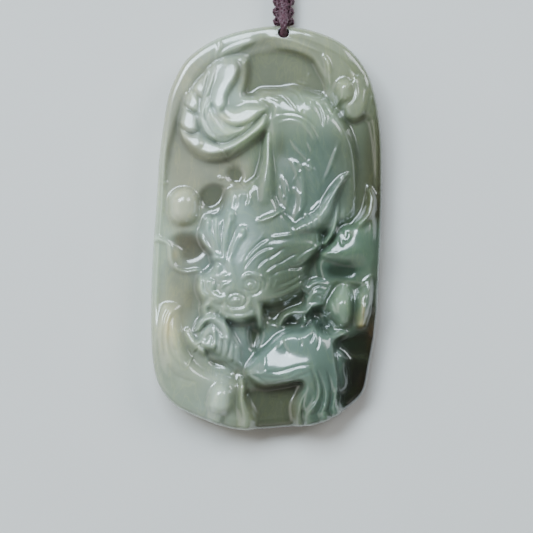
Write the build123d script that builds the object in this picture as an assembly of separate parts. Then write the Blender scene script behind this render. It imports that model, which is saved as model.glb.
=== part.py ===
"""Jade dragon pendant on a knotted cord, lying on its flat back with the carved face up.

Millimetres. +X is across the plaque, +Y up it towards the cord, +Z out of the carved face.
The origin is the middle of the flat back.
"""
from build123d import *
import math
import os
import numpy as np

# Plaque
plaque_width = 38.0
plaque_height = 66.4
ground_level = 5.2
relief_height = 4.0
front_round = 1.7
back_round = 0.9
facets_across = 46
facets_up = 78
path_steps = 6
form_crease = 0.30
mass_crease = 1.1

# Bore for the strand: in at the front near the top edge, and out through the edge
bore_across = 2.8
bore_front_from_top = 1.15
bore_turn_from_top = 2.4
bore_turn_height = 1.85
bore_clearance = 0.15

# Strand through the bore
strand_diameter = 1.6
strand_over_rim = 2.2
strand_fold_radius = 1.2
strand_off_edge = 0.2
legs_apart = 1.8
legs_spread = 0.4
grip_clearance = 0.05

# Column of snake knots
knot_width = 3.8
knot_waist = 3.1
knot_pitch = 1.75
knot_count = 13
knot_from_edge = 0.35
strand_in_knots = 4.2

# Cord round the neck
neck_cord_diameter = 2.0
nape_knot_diameter = 4.6
nape_knot_length = 9.0
floor_gap = 0.05

half_width = plaque_width / 2
half_height = plaque_height / 2
strand_radius = strand_diameter / 2
neck_cord_radius = neck_cord_diameter / 2
stem_height = knot_width / 2 + floor_gap
cord_height = neck_cord_radius + floor_gap
nape_height = nape_knot_diameter / 2 + floor_gap
cords_apart = 1.1 * neck_cord_radius

# The plaque's outline, clockwise from the top.
# Columns: across and up, as shares of the half width and the half height.
OUTLINE = [
    (0.08, 1.0), (0.34, 0.985), (0.60, 0.932), (0.76, 0.86), (0.87, 0.77), (0.94, 0.66),
    (0.98, 0.54), (1.0, 0.42), (1.005, 0.25), (1.0, 0.06), (0.985, -0.12), (0.967, -0.34),
    (0.94, -0.53), (0.89, -0.69), (0.85, -0.80), (0.77, -0.86), (0.60, -0.93), (0.42, -0.972),
    (0.16, -0.988), (-0.18, -1.0), (-0.36, -0.985), (-0.60, -0.935), (-0.77, -0.885),
    (-0.88, -0.825), (-0.955, -0.74), (-0.99, -0.62), (-1.0, -0.47), (-0.998, -0.28),
    (-0.98, -0.06), (-0.955, 0.12), (-0.93, 0.34), (-0.89, 0.52), (-0.85, 0.65), (-0.79, 0.74),
    (-0.69, 0.835), (-0.52, 0.91), (-0.32, 0.96), (-0.10, 0.99),
]

# The raised rim inside the outline.
# Columns: direction from the middle in degrees, share of the way out where its slope starts,
# width of the slope as a share, rise as a share of the relief.
RIM = [
    (0, 0.90, 0.07, 0.20), (35, 0.84, 0.10, 0.26), (60, 0.76, 0.14, 0.34), (90, 0.84, 0.10, 0.36),
    (115, 0.80, 0.12, 0.38), (135, 0.74, 0.16, 0.38), (155, 0.80, 0.12, 0.32),
    (180, 0.90, 0.06, 0.26), (205, 0.86, 0.10, 0.26), (235, 0.80, 0.14, 0.22),
    (270, 0.88, 0.10, 0.10), (305, 0.88, 0.08, 0.10), (335, 0.90, 0.07, 0.14),
]

# How the rim rounds off: inset from the edge and drop from the face, as shares of front_round
FRONT_ROUND = [(0.52, 0.12), (0.15, 0.46), (0.0, 1.0)]

# In the tables below each row is one section of a form. Columns: across and up as shares of the
# half width and half height, girth as a share of the half width, rise as a share of the relief.

# Hollows worked below the ground
HOLLOWS = {
    "sky": [(-0.02, 0.735, 0.13, -0.20), (0.16, 0.76, 0.17, -0.24), (0.36, 0.735, 0.14, -0.22)],
    "sky_foot": [(-0.10, 0.69, 0.07, -0.20), (0.2, 0.70, 0.10, -0.24), (0.45, 0.695, 0.07, -0.22)],
    "beside_tail": [(-0.27, 0.265, 0.085, -0.42), (-0.275, 0.255, 0.085, -0.42)],
    "above_pearl": [(-0.42, 0.215, 0.08, -0.34), (-0.465, 0.155, 0.115, -0.46)],
    "below_pearl": [(-0.70, -0.03, 0.06, -0.26), (-0.64, -0.10, 0.12, -0.40),
                    (-0.56, -0.11, 0.08, -0.36)],
    "before_snout": [(-0.73, -0.28, 0.10, -0.16), (-0.67, -0.40, 0.085, -0.30)],
    "under_shoulder": [(0.58, -0.208, 0.065, -0.66), (0.66, -0.213, 0.075, -0.70),
                       (0.74, -0.216, 0.055, -0.66)],
    "behind_neck": [(0.72, 0.20, 0.07, -0.10), (0.72, 0.05, 0.07, -0.34)],
    "right_ground": [(0.88, 0.46, 0.09, -0.16), (0.88, 0.30, 0.10, -0.22), (0.87, 0.22, 0.08, -0.22)],
    "under_cheek": [(0.02, -0.435, 0.07, -0.46), (0.11, -0.43, 0.08, -0.48)],
    "under_cheek_right": [(0.18, -0.475, 0.07, -0.46), (0.26, -0.47, 0.07, -0.46)],
    "between_claws": [(0.45, -0.43, 0.075, -0.42), (0.49, -0.475, 0.07, -0.44)],
    "mouth_corner": [(-0.13, -0.50, 0.06, -0.46), (-0.11, -0.58, 0.06, -0.42)],
    "under_chin": [(-0.48, -0.65, 0.04, -0.34), (-0.40, -0.675, 0.05, -0.40),
                   (-0.32, -0.70, 0.03, -0.30)],
    "foot_recess": [(-0.07, -0.88, 0.10, -0.34), (0.09, -0.875, 0.15, -0.40),
                    (0.21, -0.89, 0.11, -0.36)],
    "dark_corner": [(0.76, -0.56, 0.14, -0.40), (0.80, -0.68, 0.10, -0.40), (0.72, -0.80, 0.11, -0.34)],
}

# Broad masses that the dragon's forms grow out of
MASSES = {
    "tail_mass": [(-0.42, 0.76, 0.12, 0.34), (-0.50, 0.64, 0.17, 0.46), (-0.48, 0.52, 0.21, 0.52),
                  (-0.32, 0.48, 0.15, 0.50), (-0.12, 0.53, 0.10, 0.44), (0.02, 0.57, 0.10, 0.44)],
    "body_mass": [(-0.02, 0.59, 0.10, 0.42), (0.16, 0.57, 0.18, 0.50), (0.36, 0.50, 0.26, 0.54),
                  (0.48, 0.36, 0.29, 0.52), (0.48, 0.20, 0.28, 0.48), (0.42, 0.06, 0.25, 0.50)],
    "neck_mass": [(0.13, 0.42, 0.16, 0.20), (0.12, 0.28, 0.18, 0.32), (0.08, 0.14, 0.20, 0.48)],
    "head_mass": [(-0.24, 0.12, 0.12, 0.40), (-0.20, 0.0, 0.25, 0.58), (-0.12, -0.14, 0.32, 0.70),
                  (-0.20, -0.28, 0.27, 0.72), (-0.34, -0.34, 0.20, 0.62)],
    "cheek_mass": [(0.0, -0.16, 0.20, 0.60), (0.20, -0.16, 0.19, 0.56), (0.38, -0.14, 0.12, 0.46)],
    "jaw_mass": [(-0.42, -0.44, 0.16, 0.50), (-0.42, -0.54, 0.20, 0.50), (-0.32, -0.60, 0.17, 0.46),
                 (-0.24, -0.66, 0.10, 0.36)],
    "shoulder_mass": [(0.58, -0.12, 0.08, 0.40), (0.74, -0.08, 0.17, 0.52), (0.88, -0.06, 0.12, 0.44)],
    "claw_mass": [(0.80, -0.22, 0.16, 0.18), (0.76, -0.34, 0.20, 0.28), (0.74, -0.42, 0.14, 0.28)],
    "arm_mass": [(-0.10, -0.69, 0.08, 0.40), (0.10, -0.65, 0.22, 0.56), (0.34, -0.62, 0.26, 0.58),
                 (0.52, -0.66, 0.20, 0.50)],
    "foot_mass": [(0.50, -0.68, 0.18, 0.46), (0.47, -0.80, 0.19, 0.44), (0.43, -0.90, 0.19, 0.34)],
    "left_mass": [(-0.88, -0.46, 0.14, 0.18), (-0.84, -0.62, 0.20, 0.26), (-0.66, -0.78, 0.26, 0.30),
                  (-0.44, -0.86, 0.22, 0.28), (-0.26, -0.90, 0.18, 0.22)],
    "wisp_mass": [(0.32, -0.34, 0.10, 0.28), (0.46, -0.31, 0.11, 0.26), (0.56, -0.29, 0.08, 0.2)],
}

# The dragon, its pearl and the clouds
FORMS = {
    "tail_belly": [(-0.45, 0.815, 0.03, 0.22), (-0.53, 0.735, 0.09, 0.42), (-0.60, 0.645, 0.125, 0.58),
                   (-0.625, 0.54, 0.135, 0.66), (-0.59, 0.455, 0.15, 0.70), (-0.47, 0.405, 0.135, 0.70),
                   (-0.30, 0.41, 0.10, 0.64), (-0.12, 0.465, 0.07, 0.58), (0.02, 0.53, 0.05, 0.55)],
    "tail_band": [(-0.52, 0.64, 0.05, 0.64), (-0.51, 0.54, 0.065, 0.72), (-0.43, 0.47, 0.075, 0.78),
                  (-0.32, 0.44, 0.07, 0.78), (-0.19, 0.47, 0.065, 0.74), (-0.06, 0.53, 0.04, 0.66)],
    "tail_leaf": [(-0.345, 0.765, 0.10, 0.76), (-0.37, 0.68, 0.085, 0.88), (-0.395, 0.61, 0.08, 0.92),
                  (-0.35, 0.56, 0.08, 0.92), (-0.25, 0.55, 0.08, 0.88), (-0.13, 0.56, 0.06, 0.80),
                  (-0.05, 0.572, 0.03, 0.66), (0.0, 0.579, 0.01, 0.6)],
    "back_arch": [(-0.12, 0.615, 0.05, 0.42), (0.0, 0.605, 0.12, 0.58), (0.14, 0.60, 0.15, 0.68),
                  (0.30, 0.585, 0.17, 0.72), (0.44, 0.53, 0.19, 0.72), (0.55, 0.43, 0.20, 0.70),
                  (0.61, 0.31, 0.18, 0.62), (0.64, 0.18, 0.15, 0.52), (0.65, 0.06, 0.12, 0.44)],
    "cloud_ring": [(0.748, 0.765, 0.02, 0.34), (0.80, 0.725, 0.05, 0.46), (0.835, 0.655, 0.06, 0.52),
                   (0.81, 0.585, 0.075, 0.50), (0.745, 0.56, 0.08, 0.46), (0.69, 0.585, 0.06, 0.42)],
    "cloud_ball": [(0.66, 0.685, 0.065, 0.60), (0.675, 0.64, 0.07, 0.60)],
    "mane_one": [(0.10, 0.36, 0.05, 0.45), (0.13, 0.25, 0.05, 0.55), (0.16, 0.17, 0.04, 0.60),
                 (0.175, 0.11, 0.012, 0.60)],
    "mane_two": [(0.20, 0.40, 0.06, 0.50), (0.27, 0.30, 0.065, 0.58), (0.30, 0.20, 0.055, 0.64),
                 (0.30, 0.12, 0.04, 0.66), (0.25, 0.05, 0.015, 0.62)],
    "mane_three": [(0.32, 0.42, 0.06, 0.52), (0.37, 0.32, 0.06, 0.60), (0.41, 0.22, 0.045, 0.62),
                   (0.42, 0.145, 0.012, 0.60)],
    "mane_four": [(0.44, 0.44, 0.06, 0.62), (0.49, 0.34, 0.05, 0.66), (0.50, 0.26, 0.03, 0.64),
                  (0.48, 0.19, 0.012, 0.60)],
    "mane_five": [(0.62, 0.42, 0.03, 0.74), (0.58, 0.34, 0.04, 0.76), (0.53, 0.27, 0.03, 0.70),
                  (0.49, 0.225, 0.01, 0.62)],
    "horn_one": [(0.0, 0.482, 0.018, 0.50), (-0.002, 0.42, 0.036, 0.66), (0.0, 0.32, 0.05, 0.76),
                 (0.01, 0.22, 0.066, 0.80), (0.02, 0.14, 0.08, 0.80), (0.02, 0.06, 0.07, 0.74)],
    "horn_two": [(0.20, -0.03, 0.05, 0.70), (0.30, 0.0, 0.085, 0.84), (0.40, 0.025, 0.095, 0.94),
                 (0.49, 0.075, 0.075, 0.98), (0.545, 0.14, 0.052, 0.96), (0.60, 0.205, 0.035, 0.88),
                 (0.68, 0.258, 0.014, 0.72)],
    "horn_strand": [(0.62, 0.135, 0.012, 0.58), (0.60, 0.05, 0.022, 0.66), (0.565, -0.02, 0.028, 0.68),
                    (0.50, -0.08, 0.016, 0.62)],
    "skull": [(-0.22, -0.16, 0.11, 0.74), (-0.10, -0.12, 0.17, 0.88), (0.05, -0.09, 0.19, 0.94),
              (0.20, -0.08, 0.16, 0.86), (0.34, -0.09, 0.10, 0.72), (0.44, -0.09, 0.04, 0.60)],
    "crown": [(-0.27, 0.10, 0.11, 0.52), (-0.18, 0.05, 0.15, 0.68), (-0.05, 0.0, 0.17, 0.80),
              (0.10, -0.01, 0.13, 0.78)],
    "brow_left": [(-0.39, -0.15, 0.05, 0.78), (-0.45, -0.06, 0.06, 0.72), (-0.49, 0.0, 0.06, 0.66),
                  (-0.495, 0.035, 0.045, 0.60)],
    "brow_middle": [(-0.37, -0.16, 0.05, 0.82), (-0.355, -0.06, 0.06, 0.80), (-0.33, 0.01, 0.06, 0.78),
                    (-0.31, 0.055, 0.05, 0.72)],
    "brow_right": [(-0.34, -0.16, 0.05, 0.84), (-0.29, -0.10, 0.05, 0.84), (-0.24, -0.05, 0.05, 0.84),
                   (-0.205, -0.01, 0.05, 0.82)],
    "face": [(-0.24, -0.20, 0.12, 0.84), (-0.20, -0.28, 0.15, 0.88), (-0.22, -0.36, 0.14, 0.86)],
    "muzzle": [(-0.50, -0.26, 0.075, 0.74), (-0.44, -0.30, 0.11, 0.86), (-0.36, -0.33, 0.12, 0.90)],
    "nostril": [(-0.29, -0.355, 0.085, 0.96), (-0.23, -0.355, 0.08, 0.96)],
    "eye": [(-0.16, -0.278, 0.07, 0.98), (-0.11, -0.28, 0.065, 0.96)],
    "upper_lip": [(-0.47, -0.355, 0.05, 0.74), (-0.36, -0.405, 0.055, 0.84), (-0.24, -0.425, 0.06, 0.88),
                  (-0.13, -0.405, 0.06, 0.82), (-0.08, -0.38, 0.05, 0.74)],
    "lip_corner": [(-0.10, -0.355, 0.035, 0.72), (-0.075, -0.41, 0.035, 0.72),
                   (-0.075, -0.465, 0.035, 0.64), (-0.04, -0.49, 0.02, 0.50)],
    "cheek": [(0.01, -0.30, 0.10, 0.66), (0.12, -0.295, 0.135, 0.74), (0.24, -0.265, 0.12, 0.70),
              (0.33, -0.225, 0.07, 0.60)],
    "back_ear": [(0.23, -0.182, 0.02, 0.62), (0.31, -0.16, 0.045, 0.70), (0.385, -0.125, 0.038, 0.70),
                 (0.465, -0.078, 0.012, 0.62)],
    "front_ear": [(-0.065, 0.032, 0.028, 0.92), (0.0, 0.045, 0.032, 0.96), (0.07, 0.066, 0.024, 0.94),
                  (0.145, 0.088, 0.01, 0.84)],
    "jaw": [(-0.52, -0.49, 0.07, 0.56), (-0.47, -0.54, 0.11, 0.66), (-0.38, -0.575, 0.12, 0.72),
            (-0.29, -0.60, 0.10, 0.68), (-0.24, -0.64, 0.07, 0.56)],
    "lower_lip": [(-0.56, -0.50, 0.03, 0.60), (-0.53, -0.455, 0.04, 0.68), (-0.44, -0.445, 0.06, 0.74),
                  (-0.36, -0.48, 0.06, 0.76), (-0.31, -0.55, 0.05, 0.74)],
    "fang": [(-0.52, -0.36, 0.035, 0.72), (-0.53, -0.42, 0.03, 0.66)],
    "beard": [(-0.40, -0.58, 0.08, 0.70), (-0.31, -0.64, 0.09, 0.66), (-0.22, -0.69, 0.06, 0.52)],
    "jaw_fin": [(-0.685, -0.50, 0.02, 0.24), (-0.66, -0.545, 0.03, 0.34), (-0.61, -0.585, 0.035, 0.42),
                (-0.54, -0.615, 0.03, 0.40)],
    "whisker": [(-0.55, -0.218, 0.026, 0.50), (-0.62, -0.209, 0.024, 0.40), (-0.71, -0.215, 0.022, 0.32),
                (-0.785, -0.19, 0.026, 0.28), (-0.81, -0.13, 0.026, 0.28), (-0.835, -0.08, 0.022, 0.24),
                (-0.89, -0.063, 0.016, 0.20)],
    "pearl": [(-0.715, 0.118, 0.142, 0.58), (-0.715, 0.088, 0.142, 0.58)],
    "shoulder": [(0.50, -0.145, 0.025, 0.50), (0.60, -0.115, 0.075, 0.70), (0.71, -0.075, 0.12, 0.80),
                 (0.82, -0.065, 0.13, 0.74), (0.90, -0.02, 0.085, 0.60), (0.915, 0.06, 0.055, 0.50),
                 (0.90, 0.13, 0.035, 0.42), (0.87, 0.205, 0.012, 0.30)],
    "claw_one": [(0.67, -0.29, 0.06, 0.56), (0.645, -0.355, 0.11, 0.78), (0.635, -0.41, 0.105, 0.84),
                 (0.665, -0.47, 0.06, 0.72)],
    "claw_two": [(0.925, -0.215, 0.045, 0.46), (0.89, -0.285, 0.075, 0.64), (0.865, -0.36, 0.09, 0.74),
                 (0.835, -0.43, 0.07, 0.72), (0.82, -0.475, 0.04, 0.62)],
    "left_cloud": [(-0.785, -0.395, 0.055, 0.26), (-0.815, -0.46, 0.085, 0.40), (-0.80, -0.56, 0.105, 0.46),
                   (-0.74, -0.655, 0.125, 0.48), (-0.62, -0.74, 0.14, 0.46), (-0.50, -0.79, 0.12, 0.40)],
    "left_edge": [(-0.74, -0.375, 0.025, 0.16), (-0.84, -0.36, 0.028, 0.20), (-0.92, -0.385, 0.035, 0.24),
                  (-0.945, -0.47, 0.04, 0.24), (-0.945, -0.58, 0.045, 0.22), (-0.92, -0.70, 0.06, 0.18)],
    "wrist": [(-0.28, -0.70, 0.05, 0.40), (-0.36, -0.765, 0.075, 0.46), (-0.42, -0.83, 0.09, 0.52)],
    "egg": [(-0.425, -0.85, 0.095, 0.62), (-0.41, -0.885, 0.09, 0.60)],
    "bottom_limb": [(-0.215, -0.745, 0.035, 0.42), (-0.245, -0.83, 0.06, 0.40), (-0.24, -0.91, 0.10, 0.36),
                    (-0.215, -0.965, 0.11, 0.26)],
    "arm": [(-0.14, -0.695, 0.05, 0.52), (-0.02, -0.675, 0.12, 0.78), (0.13, -0.645, 0.19, 0.88),
            (0.30, -0.625, 0.22, 0.90), (0.45, -0.63, 0.20, 0.82), (0.55, -0.68, 0.13, 0.66)],
    "elbow_spike": [(0.36, -0.56, 0.07, 0.62), (0.395, -0.50, 0.045, 0.58), (0.405, -0.475, 0.02, 0.50)],
    "spur": [(0.48, -0.545, 0.06, 0.56), (0.58, -0.515, 0.04, 0.50), (0.70, -0.507, 0.02, 0.36)],
    "foot": [(0.50, -0.66, 0.15, 0.72), (0.50, -0.76, 0.14, 0.66), (0.47, -0.85, 0.16, 0.58),
             (0.44, -0.92, 0.13, 0.46)],
    "toe_one": [(0.36, -0.735, 0.035, 0.60), (0.335, -0.81, 0.04, 0.56), (0.285, -0.87, 0.045, 0.50),
                (0.275, -0.92, 0.045, 0.42)],
    "toe_two": [(0.42, -0.72, 0.03, 0.74), (0.44, -0.80, 0.035, 0.72), (0.40, -0.87, 0.05, 0.66),
                (0.355, -0.92, 0.055, 0.58), (0.365, -0.955, 0.045, 0.44)],
    "toe_three": [(0.50, -0.75, 0.03, 0.74), (0.515, -0.83, 0.035, 0.68), (0.485, -0.90, 0.045, 0.60),
                  (0.45, -0.945, 0.045, 0.48)],
    "toe_four": [(0.575, -0.70, 0.035, 0.70), (0.595, -0.79, 0.035, 0.62), (0.575, -0.88, 0.045, 0.54),
                 (0.53, -0.935, 0.045, 0.42)],
    "fringe_one": [(0.60, -0.64, 0.04, 0.40), (0.68, -0.655, 0.03, 0.32), (0.755, -0.652, 0.015, 0.22)],
    "fringe_two": [(0.645, -0.70, 0.035, 0.38), (0.695, -0.745, 0.032, 0.30), (0.69, -0.79, 0.028, 0.22),
                   (0.65, -0.81, 0.02, 0.20)],
    "wisp_one": [(0.34, -0.305, 0.03, 0.50), (0.42, -0.268, 0.035, 0.46), (0.54, -0.285, 0.03, 0.30)],
    "wisp_two": [(0.30, -0.36, 0.04, 0.46), (0.40, -0.335, 0.045, 0.46), (0.50, -0.35, 0.035, 0.34)],
    "wisp_three": [(0.10, -0.485, 0.03, 0.30), (0.17, -0.43, 0.035, 0.40), (0.28, -0.42, 0.035, 0.42),
                   (0.38, -0.40, 0.03, 0.42), (0.44, -0.375, 0.02, 0.40)],
}

# How far below the ground each kind of form is rooted, as a share of the relief,
# and how square its shoulders are
HOLLOW_SQUARENESS = 4.0
MASS_ROOT = 0.35
MASS_SQUARENESS = (3.0, 0.7)
FORM_ROOT = 0.15
FORM_SQUARENESS = (2.4, 0.55)

# Route of the cord round the neck, from the top of the knots to the nape, its left half.
# Columns: sideways from the knots' line, along from the knots' top, height of the middle.
NECK_ROUTE = [
    (cords_apart, 0.0, stem_height), (cords_apart, 10.0, stem_height), (3.5, 26.0, cord_height),
    (15.0, 50.0, cord_height), (35.0, 75.0, cord_height), (56.0, 109.0, cord_height),
    (67.0, 150.0, cord_height), (63.0, 192.0, cord_height), (45.0, 226.0, cord_height),
    (25.0, 243.0, cord_height), (12.5, 250.0, nape_height), (nape_knot_length / 2, 250.0, nape_height),
]


def curve_point(a, b, c, d, t):
    """Catmull-Rom point between b and c"""
    bend = (2 * a - 5 * b + 4 * c - d) * t * t
    twist = (3 * b - a - 3 * c + d) * t ** 3
    return 0.5 * (2 * b + (c - a) * t + bend + twist)


def form_path(rows):
    """Smooth run of sections through the rows of a table"""
    p = np.array(rows, float)
    p = np.vstack([2 * p[0] - p[1], p, 2 * p[-1] - p[-2]])
    run = []
    for i in range(1, len(p) - 2):
        for k in range(path_steps):
            run.append(curve_point(p[i - 1], p[i], p[i + 1], p[i + 2], k / path_steps))
    run.append(p[-2])
    return np.array(run)


def outline_radii():
    """The outline as directions and radii, both in shares"""
    p = np.array(OUTLINE)
    count = len(p)
    run = []
    for i in range(count):
        corners = [p[(i + step) % count] for step in (-1, 0, 1, 2)]
        for k in range(path_steps):
            run.append(curve_point(*corners, k / path_steps))
    run = np.array(run)
    direction = np.arctan2(run[:, 1], run[:, 0])
    order = np.argsort(direction)
    return direction[order], np.hypot(run[:, 0], run[:, 1])[order]


outline_direction, outline_radius = outline_radii()


def outline_reach(across, up):
    """Radius of the outline in the direction of a point, in shares"""
    return np.interp(np.arctan2(up, across), outline_direction, outline_radius, period=2 * np.pi)


def smooth_step(t):
    t = np.clip(t, 0, 1)
    return t * t * (3 - 2 * t)


def higher(a, b, crease):
    """The higher of two heights, with a crease of this width between them"""
    share = np.clip(0.5 + 0.5 * (b - a) / crease, 0, 1)
    return a + (b - a) * share + crease * share * (1 - share)


def nearest_section(x, y, run):
    """How many girths each point lies from a form's line, and the form's rise there"""
    line_x = run[:, 0] * half_width
    line_y = run[:, 1] * half_height
    girth = run[:, 2] * half_width
    rise = run[:, 3]
    nearest = np.full(x.shape, np.inf)
    lift = np.zeros(x.shape)
    for i in range(len(run) - 1):
        along_x = line_x[i + 1] - line_x[i]
        along_y = line_y[i + 1] - line_y[i]
        way = ((x - line_x[i]) * along_x + (y - line_y[i]) * along_y) / (along_x ** 2 + along_y ** 2)
        way = np.clip(way, 0, 1)
        away = np.hypot(x - line_x[i] - way * along_x, y - line_y[i] - way * along_y)
        away = away / (girth[i] + way * (girth[i + 1] - girth[i]))
        lift = np.where(away < nearest, rise[i] + way * (rise[i + 1] - rise[i]), lift)
        nearest = np.minimum(away, nearest)
    return nearest, lift


def rim_rise(across, up, share):
    """Rise of the rim, as a share of the relief"""
    table = np.array(RIM, float)
    direction = np.degrees(np.arctan2(up, across)) % 360
    start, slope, rise = [np.interp(direction, table[:, 0], table[:, i], period=360) for i in (1, 2, 3)]
    return rise * smooth_step((share - start) / slope)


def face_height(across, up, share):
    """Height of the carved face above the back, for arrays of places in shares"""
    x = across * half_width
    y = up * half_height
    level = rim_rise(across, up, share)
    for rows in HOLLOWS.values():
        away, depth = nearest_section(x, y, form_path(rows))
        bowl = np.clip(1 - away ** HOLLOW_SQUARENESS, 0, 1)
        level = np.minimum(level, level * (1 - bowl) + depth * bowl)
    height = ground_level + relief_height * level
    kinds = (
        (MASSES, MASS_ROOT, MASS_SQUARENESS, mass_crease),
        (FORMS, FORM_ROOT, FORM_SQUARENESS, form_crease),
    )
    for table, root, (inner, outer), crease in kinds:
        for rows in table.values():
            away, rise = nearest_section(x, y, form_path(rows))
            dome = np.clip(1 - away ** inner, 0, 1) ** outer
            raised = ground_level + relief_height * ((rise + root) * dome - root)
            height = np.where(away < 1, higher(height, raised, crease), height)
    return height


def top_edge(x):
    """Y of the plaque's top edge at x"""
    across = x / half_width
    up = 1.0
    for _ in range(12):
        up = math.sqrt(float(outline_reach(across, up)) ** 2 - across ** 2)
    return up * half_height


def square_grid():
    """Corners of the grid as places in shares, each with its share of the way out to the outline"""
    flat_share = 1 - front_round / half_width
    u, v = np.meshgrid(np.linspace(-1, 1, facets_across + 1), np.linspace(-1, 1, facets_up + 1))
    square = np.maximum(np.abs(u), np.abs(v))
    length = np.hypot(u, v)
    stretch = np.where(length > 0, outline_reach(u, v) * square / np.maximum(length, 1e-9), 0)
    share = square * flat_share
    return u * stretch * flat_share, v * stretch * flat_share, share


def grid_border():
    """Row and column of each border corner of the grid, anticlockwise seen from the front"""
    bottom = [(0, i) for i in range(facets_across)]
    right = [(j, facets_across) for j in range(facets_up)]
    top = [(facets_up, i) for i in range(facets_across, 0, -1)]
    left = [(j, 0) for j in range(facets_up, 0, -1)]
    return bottom + right + top + left


def ring_points(edge, inset, height):
    """The border moved to this inset from the outline, in millimetres, at this height"""
    points = []
    for x, y in edge:
        keep = 1 - inset / math.hypot(x, y)
        points.append((x * keep, y * keep, height))
    return points


def strip(upper, lower):
    """Triangles between two rings of as many points, outsides outwards"""
    faces = []
    count = len(upper)
    for k in range(count):
        after = (k + 1) % count
        faces.append((lower[k], lower[after], upper[after]))
        faces.append((lower[k], upper[after], upper[k]))
    return faces


def carved_block():
    """The plaque before it is drilled: one closed body of triangles with a flat back"""
    across, up, share = square_grid()
    height = face_height(across, up, share)
    grid = np.dstack([across * half_width, up * half_height, height]).tolist()
    faces = []
    for j in range(facets_up):
        for i in range(facets_across):
            a, b, c, d = grid[j][i], grid[j][i + 1], grid[j + 1][i + 1], grid[j + 1][i]
            faces.append((a, b, c))
            faces.append((a, c, d))
    border = [grid[j][i] for j, i in grid_border()]
    edge = []
    for x, y, z in border:
        reach = float(outline_reach(x / half_width, y / half_height))
        out = reach / math.hypot(x / half_width, y / half_height)
        edge.append((x * out, y * out))
    rings = [border]
    for inset, drop in FRONT_ROUND:
        ring = ring_points(edge, inset * front_round, 0)
        rings.append([(x, y, top[2] - drop * front_round) for (x, y, _), top in zip(ring, border)])
    rings.append(ring_points(edge, 0, back_round))
    rings.append(ring_points(edge, 0.3 * back_round, 0.3 * back_round))
    rings.append(ring_points(edge, back_round, 0))
    for upper, lower in zip(rings, rings[1:]):
        faces.extend(strip(upper, lower))
    shell = [Face(Wire.make_polygon(corners)) for corners in faces]
    shell.append(Face(Wire.make_polygon(rings[-1][::-1])))
    return Solid(Shell(shell))


edge_y = top_edge(bore_across)
stem_start = edge_y + knot_from_edge
stem_end = stem_start + knot_count * knot_pitch


def turn_radii(points, largest):
    """Radius at each corner: 0.45 of the shorter run over the tangent of half the turn"""
    radii = []
    for before, corner, after in zip(points, points[1:], points[2:]):
        run_in = Vector(corner) - Vector(before)
        run_out = Vector(after) - Vector(corner)
        half_turn = math.radians(run_in.get_angle(run_out)) / 2
        radius = 0.45 * min(run_in.length, run_out.length) / math.tan(half_turn)
        radii.append(min(radius, largest))
    return radii


def tube(points, radius, largest=math.inf, name=""):
    """Round tube along straight runs joined by tangent arcs"""
    radii = turn_radii(points, largest)
    path = FilletPolyline(*points, radius=radii)
    section = Plane(origin=path @ 0, z_dir=path % 0) * Circle(radius)
    body = sweep(section, path=path)
    if name:
        print(name, "length", round(path.length, 1), "radii", [round(r, 1) for r in radii])
        print(name, "volume", round(body.volume, 2), "of", round(math.pi * radius ** 2 * path.length, 2))
    return body


def strand_points():
    """Route of the strand: out of the knots, over the rim, down the bore and back into the knots"""
    leg_y = edge_y + strand_radius + strand_off_edge
    knots_y = stem_start + strand_in_knots
    over_z = ground_level + strand_over_rim
    upper_z = stem_height + legs_apart / 2
    lower_z = stem_height - legs_apart / 2
    route = [
        (knots_y, upper_z), (leg_y, upper_z + legs_spread), (leg_y, over_z),
        (edge_y - bore_front_from_top, over_z), (edge_y - bore_turn_from_top, bore_turn_height),
        (knots_y, lower_z),
    ]
    return [(bore_across, y, z) for y, z in route]


def hanging_strand():
    return tube(strand_points(), strand_radius, strand_fold_radius, "hanging_strand")


def jade_plaque():
    """The carved block with the strand's bore"""
    return carved_block() - tube(strand_points(), strand_radius + bore_clearance, strand_fold_radius)


def knotted_stem():
    """Column of round snake knots that grips the strand's two legs"""
    waist = knot_waist / 2
    girth = knot_width / 2
    profile = Line((0, 0), (waist, 0))
    for k in range(knot_count):
        low = k * knot_pitch
        profile += ThreePointArc((waist, low), (girth, low + knot_pitch / 2), (waist, low + knot_pitch))
    top = knot_count * knot_pitch
    profile += Line((waist, top), (0, top))
    profile += Line((0, top), (0, 0))
    column = revolve(make_face(profile), Axis.Y)
    column = Pos(bore_across, stem_start, stem_height) * column
    return column - tube(strand_points(), strand_radius + grip_clearance, strand_fold_radius)


def neck_points(side):
    """The route on one side of the knots: side is -1 for the left and 1 for the right"""
    return [(bore_across + side * sideways, stem_end + along, z) for sideways, along, z in NECK_ROUTE]


def nape_knot():
    """Plain sliding knot that closes the cord at the nape"""
    along = NECK_ROUTE[-1][1]
    barrel = Rot(0, 90, 0) * Cylinder(nape_knot_diameter / 2, nape_knot_length)
    barrel = Pos(bore_across, stem_end + along, nape_height) * barrel
    return fillet(barrel.edges().filter_by(GeomType.CIRCLE), nape_knot_diameter / 6)


pieces = {
    "jade_plaque": jade_plaque(),
    "hanging_strand": hanging_strand(),
    "knotted_stem": knotted_stem(),
    "neck_cord_left": tube(neck_points(-1), neck_cord_radius, name="neck_cord_left"),
    "neck_cord_right": tube(neck_points(1), neck_cord_radius, name="neck_cord_right"),
    "nape_knot": nape_knot(),
}
os.makedirs("parts", exist_ok=True)
for node, piece in pieces.items():
    export_step(piece, f"parts/{node}.step")
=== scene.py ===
import math

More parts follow.
